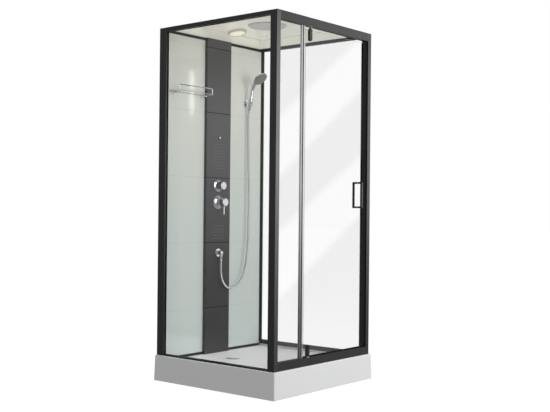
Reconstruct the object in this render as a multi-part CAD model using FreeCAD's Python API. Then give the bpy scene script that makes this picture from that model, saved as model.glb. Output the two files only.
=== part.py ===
import FreeCAD, Part
import math
import os

# Square shower cabin with a pivot door, a tiled shower column and a hipped roof.
# Millimetres, +Z up, the door on the -Y side, the column on the +Y side.
# The origin is on the floor under the tray's middle foot.

# Overall sizes
cabin_width = 916.0
cabin_depth = 916.0
frame_height = 2080.0
frame_inset = 12.0
rear_reach = 8.0
seat_gap = 0.3
running_gap = 0.05

# Tray
tray_height = 150.0
tray_wall = 6.0
apron_draft = 4.0
apron_gap = 2.0
apron_corner_radius = 6.0
rim_edge_radius = 3.0
rim_width = 32.0
basin_depth = 30.0
basin_draft = 1.5
basin_corner_radius = 8.0
basin_ledge = 40.0
basin_fall = 8.0
service_width = 160.0
service_height = 95.0

# Drain
drain_x = -66.0
drain_to_beam = 142.0
drain_pad = 70.0
drain_hole_radius = 34.0
drain_flange_radius = 46.0
drain_flange_thickness = 2.0
drain_neck_radius = 30.0
drain_neck_length = 18.0
drain_neck_wall = 3.0
cover_radius = 38.0
cover_lift_gap = 4.0
cover_rim = 2.0
cover_dome = 5.0
cover_leg_radius = 4.0
cover_leg_circle = 31.0
cover_legs = 3
trap_radius = 52.0
trap_wall = 3.0
trap_bottom = 18.0
trap_flange_radius = 62.0
trap_flange_thickness = 6.0
outlet_radius = 20.0
outlet_wall = 2.5
outlet_height = 45.0
outlet_length = 70.0
outlet_collar = 4.0

# Support beams and feet
beam_size = 30.0
beam_wall = 2.0
beam_inset = 96.0
beam_end_gap = 20.0
foot_inset = 56.0
foot_pad_radius = 25.0
foot_pad_height = 8.0
foot_pad_taper = 5.0
foot_stud_radius = 6.0
foot_nut_radius = 11.0
foot_nut_height = 10.0

# Posts, caps and rails
post_wall = 2.0
front_post_width = 31.0
front_post_depth = 46.0
rear_post_width = 22.0
rear_post_depth = 55.0
cap_thickness = 3.0
cap_edge_radius = 1.0
rail_width = 30.0
rail_wall = 2.0
top_rail_height = 48.0
side_rail_height = 24.0
roof_ledge_width = 12.0
roof_ledge_thickness = 4.0
roof_ledge_drop = 10.0
side_sill_width = 26.0
side_sill_height = 9.0
sill_groove_depth = 6.0
drip_lip = 4.0
drip_drop = 15.0
threshold_height = 46.0
back_rail_depth = 16.0
back_top_rail_height = 40.0
back_bottom_rail_height = 20.0

# Clear glass and its gaskets
glass_thickness = 6.0
glass_setback = 15.0
groove_width = 8.0
groove_depth = 12.0
glass_bite = 10.0
gasket_lip = 2.0
fixed_pane_width = 198.0
profile_width = 20.0
profile_setback = 7.0
profile_depth = 16.0
fin_seal_width = 15.0
fin_seal_thickness = 10.0

# Door
door_edge_gap = 2.0
pivot_offset = 41.0
door_bottom_gap = 7.0
door_top_gap = 15.0
magnet_strip_lip = 5.0
magnet_strip_bite = 34.0
magnet_strip_wall = 3.0
jamb_thickness = 2.6
jamb_width = 14.0
jamb_clearance = 0.4
sweep_height = 6.0
clamp_width = 22.0
clamp_thickness = 5.0
clamp_reach_top = 63.0
clamp_reach_bottom = 61.0
clamp_bridge = 4.0
clamp_corner_radius = 7.0
pivot_pin_radius = 6.0
pivot_pin_bite = 14.0
pivot_shoulder_radius = 7.5
bush_radius = 9.0
bush_flange_radius = 12.0
bush_flange_thickness = 2.0
bush_length = 16.0
handle_from_edge = 69.0
handle_height = 1105.0
handle_length = 156.0
handle_width = 12.0
handle_bar = 11.0
handle_grip = 9.0
handle_reach = 31.0
handle_corner_radius = 4.0
handle_stud_radius = 3.0
handle_stud_bite = 8.0
handle_hole_radius = 5.0

# Back wall
panel_thickness = 5.0
panel_setback = 46.0
panel_edge_gap = 0.5
panel_overlap = 8.0
channel_lip = 3.0
channel_height = 16.0
channel_floor = 4.0
column_half_width = 108.0
column_stand_off = 20.0
column_wall = 3.0
tile_height = 402.0
first_joint_height = 405.0
joint_width = 3.0
joint_depth = 1.0

# Water controls on the column
peg_rise = 42.0
peg_radius = 8.0
peg_neck_radius = 5.0
peg_reach = 16.0
peg_head = 7.0
jet_half_span = 50.0
jet_columns = 6
jet_row_step = 18.5
jet_radius = 3.0
jet_tip_radius = 2.0
jet_reach = 3.0
jet_sides = 8
upper_jets_rise = 108.0
upper_jet_rows = 9
lower_jets_drop = 223.0
lower_jet_rows = 5
manifold_margin = 4.0
manifold_end_margin = 10.0
manifold_depth = 20.0

diverter_rise = 103.0
diverter_rosette_radius = 37.0
diverter_rosette_dome = 8.0
diverter_sleeve_radius = 15.0
diverter_knob_radius = 25.0
diverter_knob_back = 14.0
diverter_knob_length = 34.0
diverter_knob_edge = 3.0
diverter_spindle_radius = 5.0
diverter_spindle_bite = 31.0
diverter_half_width = 70.0
diverter_half_height = 25.0
diverter_block_depth = 36.0

mixer_height = 1057.0
mixer_rosette_radius = 42.5
mixer_rosette_dome = 14.0
mixer_sleeve_radius = 20.0
mixer_core_radius = 22.0
mixer_bar_radius = 11.0
mixer_bar_clearance = 0.5
mixer_bar_end = 15.0
mixer_ball_offset = 40.0
mixer_ball_radius = 20.0
mixer_ball_gap = 0.4
mixer_pin_radius = 3.0
mixer_pin_reach = 2.5
mixer_neck_radius = 10.0
mixer_cap_radius = 26.0
mixer_cap_skirt = 6.0
mixer_cap_length = 32.0
mixer_cap_edge = 5.0
mixer_lever_radius = 3.5
mixer_lever_length = 49.0
mixer_lever_root = 4.0
mixer_lever_offset = 10.0
sleeve_reach = 10.0
sleeve_clearance = 1.0
hole_clearance = 2.0
clamp_collar_width = 8.0
clamp_collar_thickness = 5.0
inlet_spacing = 150.0
inlet_radius = 10.48
inlet_boss = 15.0
inlet_boss_inset = 2.0
mixer_core_end = 3.0
inlet_end_gap = 9.0
inlet_length = 13.0

pipe_radius = 5.0
rain_pipe_radius = 6.0
mixer_pipe_radius = 8.0
pipe_bend_radius = 20.0
rain_pipe_bend_radius = 40.0
rain_pipe_setback = 36.5
side_pipe_gap = 3.0
jet_pipe_offset = 40.0

# Hose, its outlet and the hand shower
outlet_drop = 91.0
outlet_rosette_radius = 25.0
outlet_rosette_thickness = 4.0
outlet_body_radius = 13.0
outlet_body_reach = 38.0
outlet_body_edge = 5.0
outlet_spout_offset = 28.0
outlet_spout_radius = 10.5
outlet_spout_drop = 21.0
outlet_shank_radius = 10.0
outlet_block = 12.0
hose_nut_radius = 11.0
hose_nut_tip_radius = 8.5
hose_nut_length = 18.0
hose_radius = 7.0
corner_share = 0.45
hose_lead = 32.0
hose_tail = 30.0

hand_shower_shift = 11.25
hand_shower_drop = 412.0
hand_shower_foot_off_wall = 27.0
hand_shower_lean = 12.0
handle_seat_start = 16.0
handle_seat_end = 46.0
handle_foot_radius = 9.5
handle_seat_low_radius = 11.0
handle_seat_high_radius = 13.5
handle_grip_radius = 12.0
handle_straight = 116.6
handle_bend_radius = 90.0
handle_bend_turn = 36.3
handle_head_run = 41.8
head_radius = 49.0
head_back_radius = 21.0
head_depth = 24.0
head_axis_depth = 14.0
head_rim = 5.0
face_radius = 45.0
face_thickness = 3.0
face_edge = 1.5
hand_nut_length = 14.0
hand_nut_radius = 10.0

bracket_disc_radius = 25.0
bracket_disc_thickness = 6.0
bracket_arm_radius = 8.0
cup_radius = 17.5
cup_slot_width = 15.5

# Shelf
shelf_side_gap = 15.5
shelf_column_gap = 1.0
shelf_depth = 80.0
shelf_drop = 371.0
shelf_thickness = 6.0
shelf_corner_radius = 12.0
shelf_back_gap = 0.3
rail_post_inset = 8.0
gallery_height = 33.0
gallery_radius = 3.5
gallery_bend_radius = 6.0
shelf_bracket_inset = 22.0
shelf_bracket_width = 20.0
shelf_bracket_depth = 32.0
shelf_bracket_height = 15.0

# Roof, light and rain head
roof_gap = 6.0
roof_thickness = 4.0
roof_flange = 12.0
roof_step_share = 0.696
roof_step_run = 1.0
roof_step_rise = 4.0
roof_flat_share = 0.339
roof_rise = 54.0
lamp_share = 0.608
lamp_pad_radius = 64.0
lamp_pad_drop = 5.0
lamp_pad_depth = 10.0
lamp_hole_radius = 46.0
lamp_bezel_radius = 59.0
lamp_bezel_depth = 7.0
lamp_lens_radius = 47.7
lamp_lens_edge = 5.0
lamp_lens_dome = 9.0
lamp_can_radius = 44.0
lamp_can_flange_radius = 54.0
lamp_can_flange_thickness = 2.0
lamp_can_height = 26.0
rain_radius = 118.0
rain_body_thickness = 10.0
rain_body_edge = 3.0
rain_face_radius = 112.0
rain_face_thickness = 4.0
rain_shoulder_radius = 22.0
rain_shoulder_height = 4.0
rain_stem_radius = 12.0
rain_nut_radius = 20.0
rain_nut_height = 8.0
rain_elbow_height = 14.0

# Route of the hose from its outlet to the hand shower. Each point is a share of the way from
# one end to the other, across, out from the wall and up.
hose_route = [
    (0.0036, 0.042, -0.07997),
    (0.0397, 0.084, -0.13259),
    (0.1300, 0.125, -0.17258),
    (0.2744, 0.209, -0.19573),
    (0.4368, 0.293, -0.19783),
    (0.5848, 0.376, -0.17994),
    (0.7365, 0.460, -0.14416),
    (0.8592, 0.544, -0.07997),
    (0.9422, 0.627, 0.01894),
    (0.9856, 0.711, 0.13785),
    (1.0036, 0.795, 0.28517),
    (1.0108, 0.878, 0.44828),
    (1.0072, 1.004, 0.60612),
    (1.0000, 1.129, 0.75344),
    (0.9964, 1.234, 0.86393),
    (0.9982, 1.284, 0.92707),
]

# Derived places
V = FreeCAD.Vector
axis_x = V(1, 0, 0)
axis_y = V(0, 1, 0)
axis_z = V(0, 0, 1)

half_width = cabin_width / 2
half_depth = cabin_depth / 2
face_x = half_width - frame_inset
face_y = half_depth - frame_inset
face_rear_y = face_y + rear_reach
front_post_in_x = face_x - front_post_width
front_post_in_y = face_y - front_post_depth
rear_post_in_x = face_x - rear_post_width
rear_post_in_y = face_rear_y - rear_post_depth
post_top = frame_height - cap_thickness

basin_half_x = half_width - rim_width
basin_half_y = half_depth - rim_width
ledge_z = tray_height - basin_depth
drain_z = ledge_z - basin_fall
beam_half_length = basin_half_x - beam_end_gap
beam_offset = basin_half_y - beam_inset
foot_offset = beam_half_length - foot_inset
drain_y = beam_offset - drain_to_beam
underside_z = drain_z - tray_wall
beam_bottom = underside_z - beam_size
flange_top = drain_z + drain_flange_thickness

top_rail_z = frame_height - top_rail_height
side_rail_z = frame_height - side_rail_height
roof_seat_z = frame_height - roof_ledge_drop
sill_top = tray_height + side_sill_height
threshold_top = tray_height + threshold_height
sill_glass_z = sill_top - sill_groove_depth
front_glass_z = threshold_top - groove_depth
glass_top = top_rail_z + glass_bite
side_glass_top = side_rail_z + glass_bite

side_glass_x = face_x - glass_setback
front_glass_y = glass_setback - face_y
half_glass = glass_thickness / 2
half_groove = groove_width / 2
glass_front = front_glass_y - half_glass
glass_back = front_glass_y + half_glass

profile_x0 = fixed_pane_width - front_post_in_x
profile_x1 = profile_x0 + profile_width
groove_end = profile_x0 + groove_depth
door_x0 = profile_x1 + fin_seal_width + door_edge_gap
pivot_x = door_x0 + pivot_offset
jamb_x = front_post_in_x - jamb_thickness
magnet_x1 = jamb_x - jamb_clearance
door_x1 = magnet_x1 - magnet_strip_lip
door_z0 = threshold_top + door_bottom_gap
door_z1 = top_rail_z - door_top_gap
handle_x = door_x1 - handle_from_edge

panel_front = face_rear_y - panel_setback
panel_back = panel_front + panel_thickness
panel_edge = rear_post_in_x - panel_edge_gap
panel_inner_edge = column_half_width - panel_overlap
channel_front = panel_front - channel_lip
channel_back = panel_back + channel_lip
panel_bottom = ledge_z + channel_floor
panel_top = roof_seat_z - channel_floor
column_front = panel_front - column_stand_off
diverter_height = mixer_height + diverter_rise
upper_jets_bottom = diverter_height + upper_jets_rise
peg_height = upper_jets_bottom + (upper_jet_rows - 1) * jet_row_step + peg_rise
lower_jets_bottom = mixer_height - lower_jets_drop
outlet_fitting_height = lower_jets_bottom - outlet_drop
column_back = column_front + column_wall
sleeve_front = column_front - sleeve_reach
collar_back = column_back + clamp_collar_thickness
diverter_back = collar_back + diverter_block_depth

mixer_bar_y = panel_back + mixer_bar_clearance + mixer_bar_radius
mixer_back = mixer_bar_y + mixer_bar_radius + mixer_core_end
mixer_ball_y = column_front - mixer_ball_offset
mixer_cap_back = mixer_ball_y + mixer_cap_skirt
mixer_cap_front = mixer_cap_back - mixer_cap_length
inlet_end = half_depth - inlet_end_gap
rain_pipe_y = half_depth - rain_pipe_setback

shelf_left = shelf_side_gap - panel_edge
shelf_length = panel_edge - shelf_side_gap - column_half_width - shelf_column_gap
shelf_height = frame_height - shelf_drop
outlet_spout_y = column_front - outlet_spout_offset
outlet_spout_z = outlet_fitting_height - outlet_spout_drop
hose_start = V(0, outlet_spout_y, outlet_spout_z - hose_nut_length)
lean = math.radians(hand_shower_lean)
hand_shower_x = (panel_edge + column_half_width) / 2 + hand_shower_shift
hand_shower_foot_height = frame_height - hand_shower_drop
hand_axis = V(0, -math.sin(lean), math.cos(lean))
hand_foot = V(hand_shower_x, panel_front - hand_shower_foot_off_wall, hand_shower_foot_height)
hose_end = hand_foot - hand_axis * hand_nut_length
cup_middle = hand_foot + hand_axis * ((handle_seat_start + handle_seat_end) / 2)

roof_half_x = face_x - rail_width - roof_gap
roof_half_y = face_y - rail_width - roof_gap
roof_reach_x = roof_half_x - roof_flange
roof_reach_y = roof_half_y - roof_flange
roof_slope = (roof_rise - roof_step_rise) / (roof_reach_y * (1 - roof_flat_share))
lamp_y = roof_reach_y * lamp_share
roof_flat_z = roof_seat_z + roof_rise
lamp_drop = lamp_pad_drop / math.cos(math.atan(roof_slope))
lamp_z = roof_flat_z - (lamp_y - roof_reach_y * roof_flat_share) * roof_slope - lamp_drop
lamp_place = FreeCAD.Placement(
    V(0, lamp_y, lamp_z), FreeCAD.Rotation(axis_x, -math.degrees(math.atan(roof_slope)))
)
rain_body_top = roof_flat_z - rain_shoulder_height
rain_body_bottom = rain_body_top - rain_body_thickness
roof_flat_top = roof_flat_z + roof_thickness
elbow_z = roof_flat_top + rain_nut_height


# Shape helpers
def block(x0, x1, y0, y1, z0, z1):
    return Part.makeBox(x1 - x0, y1 - y0, z1 - z0, V(x0, y0, z0))


def rod(base, axis, radius, length):
    return Part.makeCylinder(radius, length, base, axis)


def rectangle(half_x, half_y, z, middle_x=0.0, middle_y=0.0):
    signs = [(-1, -1), (1, -1), (1, 1), (-1, 1), (-1, -1)]
    return Part.makePolygon([V(middle_x + sx * half_x, middle_y + sy * half_y, z) for sx, sy in signs])


def tapered(wires):
    return Part.makeLoft(wires, True, True)


def polygon(sides, radius, base, axis):
    turn = FreeCAD.Rotation(axis_z, axis)
    corners = []
    for i in range(sides + 1):
        angle = 2 * math.pi * i / sides
        corners.append(base + turn.multVec(V(radius * math.cos(angle), radius * math.sin(angle), 0)))
    return Part.makePolygon(corners)


def turned(outline):
    points = [V(radius, 0, height) for radius, height in outline]
    face = Part.Face(Part.makePolygon(points + [points[0]]))
    return face.revolve(V(0, 0, 0), axis_z, 360)


def dome(base, axis, radius, height):
    ball_radius = (radius ** 2 + height ** 2) / (2 * height)
    ball = Part.makeSphere(ball_radius, base + axis * (height - ball_radius))
    return ball.common(rod(base, axis, radius, height))


def upright_edges(shape):
    found = []
    for edge in shape.Edges:
        box = edge.BoundBox
        if box.ZLength > box.XLength + box.YLength:
            found.append(edge)
    return found


def edges_along(shape, axis):
    found = []
    for edge in shape.Edges:
        straight = edge.Curve.TypeId == "Part::GeomLine"
        if straight and abs(edge.tangentAt(edge.FirstParameter).dot(axis)) > 0.999:
            found.append(edge)
    return found


def mirrored_x(shape):
    return shape.mirror(V(0, 0, 0), axis_x)


def bent_path(points, radii):
    edges = []
    here = points[0]
    for before, corner, after, radius in zip(points, points[1:], points[2:], radii):
        inward = (corner - before).normalize()
        outward = (after - corner).normalize()
        half_turn = inward.getAngle(outward) / 2
        reach = radius * math.tan(half_turn)
        start = corner - inward * reach
        end = corner + outward * reach
        bisector = (outward - inward).normalize()
        middle = corner + bisector * (radius / math.cos(half_turn) - radius)
        edges.append(Part.LineSegment(here, start).toShape())
        edges.append(Part.Arc(start, middle, end).toShape())
        here = end
    edges.append(Part.LineSegment(here, points[-1]).toShape())
    return Part.Wire(edges)


def cord_radii(points):
    radii = []
    for before, corner, after in zip(points, points[1:], points[2:]):
        shorter = min(corner.distanceToPoint(before), after.distanceToPoint(corner))
        turn = (corner - before).getAngle(after - corner)
        radii.append(corner_share * shorter / math.tan(turn / 2))
    return radii


def tube(path, radius, start, direction):
    ring = Part.Wire(Part.makeCircle(radius, start, direction))
    return path.makePipeShell([ring], True, False)


def bent_pipe(points, bend_radius, radius):
    path = bent_path(points, [bend_radius] * (len(points) - 2))
    return tube(path, radius, points[0], points[1] - points[0])


# Tray, drain and feet
def apron_half(half, z):
    return half + apron_draft * (1 - z / tray_height)


def apron_wire(z, inset):
    return rectangle(apron_half(half_width, z) - inset, apron_half(half_depth, z) - inset, z)


def shower_tray():
    outer = tapered([apron_wire(apron_gap, 0), apron_wire(tray_height, 0)])
    outer = outer.makeFillet(apron_corner_radius, upright_edges(outer))
    rim = [edge for edge in outer.Edges if edge.BoundBox.ZMin > tray_height - running_gap]
    outer = outer.makeFillet(rim_edge_radius, rim)
    basin = tapered([
        rectangle(basin_half_x - basin_draft, basin_half_y - basin_draft, ledge_z),
        rectangle(basin_half_x, basin_half_y, tray_height),
    ])
    basin = basin.makeFillet(basin_corner_radius, upright_edges(basin))
    fall = tapered([
        rectangle(drain_pad, drain_pad, drain_z, drain_x, drain_y),
        rectangle(basin_half_x - basin_ledge, basin_half_y - basin_ledge, ledge_z),
    ])
    inside = tapered([apron_wire(0, tray_wall), apron_wire(tray_height - tray_wall, tray_wall)])
    bowl_x = basin_half_x + tray_wall
    bowl_y = basin_half_y + tray_wall
    bowl = block(-bowl_x, bowl_x, -bowl_y, bowl_y, underside_z, tray_height)
    hole = rod(V(drain_x, drain_y, 0), axis_z, drain_hole_radius, tray_height)
    service_x0 = drain_x - service_width / 2
    service_y0 = half_depth - 2 * tray_wall
    service_y1 = half_depth + 2 * apron_draft
    service = block(service_x0, service_x0 + service_width, service_y0, service_y1, 0, service_height)
    return outer.cut(basin).cut(fall).cut(inside.cut(bowl)).cut(hole).cut(service)


def tray_beams():
    half = beam_size / 2
    end = beam_half_length
    beams = []
    for y in (-beam_offset, 0.0, beam_offset):
        outer = block(-end, end, y - half, y + half, beam_bottom, underside_z)
        core = half - beam_wall
        inner = block(-end, end, y - core, y + core, beam_bottom + beam_wall, underside_z - beam_wall)
        beams.append(outer.cut(inner))
    return Part.makeCompound(beams)


def levelling_feet():
    places = [(0.0, 0.0)]
    places += [(sx * foot_offset, sy * beam_offset) for sx in (-1, 1) for sy in (-1, 1)]
    feet = []
    for x, y in places:
        base = V(x, y, 0)
        rim_height = foot_pad_height - foot_pad_taper
        pad = rod(base, axis_z, foot_pad_radius, rim_height)
        taper = Part.makeCone(foot_pad_radius, foot_nut_radius, foot_pad_taper, base + axis_z * rim_height)
        stud = rod(base, axis_z, foot_stud_radius, beam_bottom)
        nut_base = base + axis_z * (beam_bottom - foot_nut_height)
        nut = Part.Face(polygon(6, foot_nut_radius, nut_base, axis_z)).extrude(axis_z * foot_nut_height)
        feet.append(pad.fuse([taper, stud, nut]).removeSplitter())
    return Part.makeCompound(feet)


def drain_trap():
    middle = V(drain_x, drain_y, 0)
    cup = rod(middle + axis_z * trap_bottom, axis_z, trap_radius, underside_z - trap_bottom)
    flange_z = underside_z - trap_flange_thickness
    flange = rod(middle + axis_z * flange_z, axis_z, trap_flange_radius, trap_flange_thickness)
    spigot_start = middle + axis_z * outlet_height
    spigot = rod(spigot_start, axis_y, outlet_radius, trap_radius + outlet_length)
    hollow_z = trap_bottom + trap_wall
    hollow = rod(middle + axis_z * hollow_z, axis_z, trap_radius - trap_wall, underside_z - hollow_z)
    bore = rod(spigot_start, axis_y, outlet_radius - outlet_wall, trap_radius + outlet_length)
    collar = rod(spigot_start, axis_y, outlet_radius + outlet_collar, trap_radius + outlet_collar)
    return cup.fuse([flange, collar, spigot]).cut(hollow).cut(bore)


def drain_flange():
    middle = V(drain_x, drain_y, drain_z)
    ring = rod(middle, axis_z, drain_flange_radius, drain_flange_thickness)
    neck = rod(middle - axis_z * drain_neck_length, axis_z, drain_neck_radius, drain_neck_length)
    length = drain_neck_length + drain_flange_thickness
    bore = rod(middle - axis_z * drain_neck_length, axis_z, drain_neck_radius - drain_neck_wall, length)
    return ring.fuse(neck).cut(bore)


def drain_cover():
    rim_z = flange_top + cover_lift_gap
    middle = V(drain_x, drain_y, rim_z)
    disc = rod(middle, axis_z, cover_radius, cover_rim)
    pieces = [dome(middle + axis_z * cover_rim, axis_z, cover_radius, cover_dome)]
    for i in range(cover_legs):
        angle = 2 * math.pi * i / cover_legs
        foot = V(cover_leg_circle * math.cos(angle), cover_leg_circle * math.sin(angle), -cover_lift_gap)
        pieces.append(rod(middle + foot, axis_z, cover_leg_radius, cover_lift_gap))
    return disc.fuse(pieces).removeSplitter()


# Posts and rails
def grooved_post(outline, grooves):
    x0, x1, y0, y1 = outline
    post = block(x0, x1, y0, y1, tray_height, post_top)
    core = block(x0 + post_wall, x1 - post_wall, y0 + post_wall, y1 - post_wall, tray_height, post_top)
    for gx0, gx1, gy0, gy1 in grooves:
        core = core.cut(block(
            gx0 - post_wall, gx1 + post_wall, gy0 - post_wall, gy1 + post_wall, tray_height, post_top
        ))
    post = post.cut(core)
    for gx0, gx1, gy0, gy1 in grooves:
        post = post.cut(block(gx0, gx1, gy0, gy1, tray_height, post_top))
    return post


def front_left_outline():
    return (-face_x, -front_post_in_x, -face_y, -front_post_in_y)


def rear_left_outline():
    return (-face_x, -rear_post_in_x, rear_post_in_y, face_rear_y)


def front_side_groove():
    y = -front_post_in_y
    return (-side_glass_x - half_groove, -side_glass_x + half_groove, y - groove_depth, y)


def fixed_pane_groove():
    x = -front_post_in_x
    return (x - groove_depth, x, front_glass_y - half_groove, front_glass_y + half_groove)


def rear_side_groove():
    y = rear_post_in_y
    return (-side_glass_x - half_groove, -side_glass_x + half_groove, y, y + groove_depth)


def front_left_post():
    return grooved_post(front_left_outline(), [front_side_groove(), fixed_pane_groove()])


def front_right_post():
    return mirrored_x(grooved_post(front_left_outline(), [front_side_groove()]))


def rear_left_post():
    return grooved_post(rear_left_outline(), [rear_side_groove()])


def post_caps():
    caps = []
    for x0, x1, y0, y1 in (front_left_outline(), rear_left_outline()):
        cap = block(x0, x1, y0, y1, post_top, frame_height)
        top = [edge for edge in cap.Edges if edge.BoundBox.ZMin > frame_height - running_gap]
        cap = cap.makeFillet(cap_edge_radius, top)
        caps += [cap, mirrored_x(cap)]
    return Part.makeCompound(caps)


def side_top_rail():
    x0 = -face_x
    x1 = x0 + rail_width
    y0 = -front_post_in_y
    y1 = rear_post_in_y
    rail = block(x0, x1, y0, y1, side_rail_z, frame_height)
    core = block(x0 + rail_wall, x1 - rail_wall, y0, y1, side_rail_z + rail_wall, frame_height - rail_wall)
    groove_x0 = -side_glass_x - half_groove
    groove_x1 = -side_glass_x + half_groove
    groove_top = side_rail_z + groove_depth
    core = core.cut(block(
        groove_x0 - rail_wall, groove_x1 + rail_wall, y0, y1, side_rail_z, groove_top + rail_wall
    ))
    groove = block(groove_x0, groove_x1, y0, y1, side_rail_z, groove_top)
    ledge = block(x1, x1 + roof_ledge_width, y0, y1, roof_seat_z - roof_ledge_thickness, roof_seat_z)
    return rail.cut(core).cut(groove).fuse(ledge).removeSplitter()


def front_top_rail():
    x1 = front_post_in_x
    y0 = -face_y
    y1 = y0 + rail_width
    rail = block(-x1, x1, y0, y1, top_rail_z, frame_height)
    core = block(-x1, x1, y0 + rail_wall, y1 - rail_wall, top_rail_z + rail_wall, frame_height - rail_wall)
    groove_y0 = front_glass_y - half_groove
    groove_y1 = front_glass_y + half_groove
    groove_top = top_rail_z + groove_depth
    core = core.cut(block(
        -x1, groove_end + rail_wall, groove_y0 - rail_wall, groove_y1 + rail_wall,
        top_rail_z, groove_top + rail_wall,
    ))
    groove = block(-x1, groove_end, groove_y0, groove_y1, top_rail_z, groove_top)
    ledge = block(-x1, x1, y1, y1 + roof_ledge_width, roof_seat_z - roof_ledge_thickness, roof_seat_z)
    bush_hole = rod(V(pivot_x, front_glass_y, top_rail_z), axis_z, bush_radius + seat_gap, rail_wall)
    return rail.cut(core).cut(groove).cut(bush_hole).fuse(ledge).removeSplitter()


def back_rail(z0, z1):
    x1 = rear_post_in_x
    y1 = face_rear_y
    y0 = y1 - back_rail_depth
    rail = block(-x1, x1, y0, y1, z0, z1)
    return rail.cut(block(-x1, x1, y0 + rail_wall, y1 - rail_wall, z0 + rail_wall, z1 - rail_wall))


def side_sill():
    x0 = -face_x
    x1 = x0 + side_sill_width
    y0 = -front_post_in_y
    y1 = rear_post_in_y
    sill = block(x0, x1, y0, y1, tray_height, sill_top)
    groove = block(-side_glass_x - half_groove, -side_glass_x + half_groove, y0, y1, sill_glass_z, sill_top)
    lip = block(x1 - drip_lip, x1, y0, y1, tray_height - drip_drop, tray_height)
    return sill.cut(groove).fuse(lip).removeSplitter()


def front_threshold():
    x1 = front_post_in_x
    y0 = -face_y
    y1 = y0 + rail_width
    bar = block(-x1, x1, y0, y1, tray_height, threshold_top)
    core = block(-x1, x1, y0 + rail_wall, y1 - rail_wall, tray_height + rail_wall, threshold_top - rail_wall)
    groove_y0 = front_glass_y - half_groove
    groove_y1 = front_glass_y + half_groove
    core = core.cut(block(
        -x1, groove_end + rail_wall, groove_y0 - rail_wall, groove_y1 + rail_wall,
        front_glass_z - rail_wall, threshold_top,
    ))
    groove = block(-x1, groove_end, groove_y0, groove_y1, front_glass_z, threshold_top)
    bush_hole = rod(V(pivot_x, front_glass_y, threshold_top), -axis_z, bush_radius + seat_gap, rail_wall)
    return bar.cut(core).cut(groove).cut(bush_hole)


# Clear panes
def side_glass():
    y0 = -front_post_in_y - glass_bite
    y1 = rear_post_in_y + glass_bite
    x0 = -side_glass_x - half_glass
    return block(x0, x0 + glass_thickness, y0, y1, sill_glass_z, side_glass_top)


def fixed_front_glass():
    x0 = -front_post_in_x - glass_bite
    return block(x0, profile_x0 + glass_bite, glass_front, glass_back, front_glass_z, glass_top)


def fixed_pane_profile():
    y0 = profile_setback - face_y
    y1 = y0 + profile_depth
    bar = block(profile_x0, profile_x1, y0, y1, threshold_top, top_rail_z)
    groove = block(
        profile_x0, profile_x0 + groove_depth, front_glass_y - half_groove, front_glass_y + half_groove,
        threshold_top, top_rail_z,
    )
    core = block(
        profile_x0 + groove_depth + post_wall, profile_x1 - post_wall, y0 + post_wall, y1 - post_wall,
        threshold_top, top_rail_z,
    )
    return bar.cut(groove).cut(core)


def fin_seal():
    half = fin_seal_thickness / 2
    blade = [
        V(profile_x1, front_glass_y - half, threshold_top),
        V(profile_x1 + fin_seal_width, front_glass_y - half_glass, threshold_top),
        V(profile_x1 + fin_seal_width, front_glass_y + half_glass, threshold_top),
        V(profile_x1, front_glass_y + half, threshold_top),
    ]
    return Part.Face(Part.makePolygon(blade + [blade[0]])).extrude(axis_z * (top_rail_z - threshold_top))


def glazing_gaskets():
    gaskets = []
    left = -side_glass_x
    for y_mouth, inward in ((-front_post_in_y, -1), (rear_post_in_y, 1)):
        y_lip = y_mouth - inward * gasket_lip
        y_floor = y_mouth + inward * groove_depth
        y_glass = y_mouth + inward * glass_bite
        low, high = sorted((y_lip, y_floor))
        strip = block(left - half_groove, left + half_groove, low, high, sill_top, side_rail_z)
        low, high = sorted((y_lip, y_glass))
        strip = strip.cut(block(left - half_glass, left + half_glass, low, high, sill_top, side_rail_z))
        gaskets += [strip, mirrored_x(strip)]
    for x_mouth, inward in ((-front_post_in_x, -1), (profile_x0, 1)):
        x_lip = x_mouth - inward * gasket_lip
        x_floor = x_mouth + inward * groove_depth
        x_glass = x_mouth + inward * glass_bite
        low, high = sorted((x_lip, x_floor))
        groove_y0 = front_glass_y - half_groove
        strip = block(low, high, groove_y0, groove_y0 + groove_width, threshold_top, top_rail_z)
        low, high = sorted((x_lip, x_glass))
        gaskets.append(strip.cut(block(low, high, glass_front, glass_back, threshold_top, top_rail_z)))
    return Part.makeCompound(gaskets)


def magnet_jamb():
    half = jamb_width / 2
    z0 = threshold_top + jamb_clearance
    z1 = top_rail_z - jamb_clearance
    return block(jamb_x, front_post_in_x, front_glass_y - half, front_glass_y + half, z0, z1)


# Door
def door_glass():
    pane = block(door_x0, door_x1, glass_front, glass_back, door_z0, door_z1)
    for z in handle_leg_heights():
        pane = pane.cut(rod(V(handle_x, glass_front, z), axis_y, handle_hole_radius, glass_thickness))
    return pane


def handle_leg_heights():
    offset = (handle_length - handle_bar) / 2
    return (handle_height - offset, handle_height + offset)


def handle_half():
    low = handle_height - handle_length / 2
    high = handle_height + handle_length / 2
    outer_y = glass_front - handle_reach
    inner_y = outer_y + handle_grip
    outline = [
        V(0, glass_front, low), V(0, outer_y, low), V(0, outer_y, high), V(0, glass_front, high),
        V(0, glass_front, high - handle_bar), V(0, inner_y, high - handle_bar),
        V(0, inner_y, low + handle_bar), V(0, glass_front, low + handle_bar),
    ]
    face = Part.Face(Part.makePolygon(outline + [outline[0]]))
    face.translate(V(handle_x - handle_width / 2, 0, 0))
    grip = face.extrude(axis_x * handle_width)
    corners = [edge for edge in edges_along(grip, axis_x) if edge.BoundBox.YMax < outer_y + running_gap]
    return grip.makeFillet(handle_corner_radius, corners)


def door_handle_outer():
    grip = handle_half()
    for z in handle_leg_heights():
        start = V(handle_x, glass_front, z)
        grip = grip.fuse(rod(start, axis_y, handle_stud_radius, glass_thickness + handle_stud_bite))
    return grip


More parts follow.
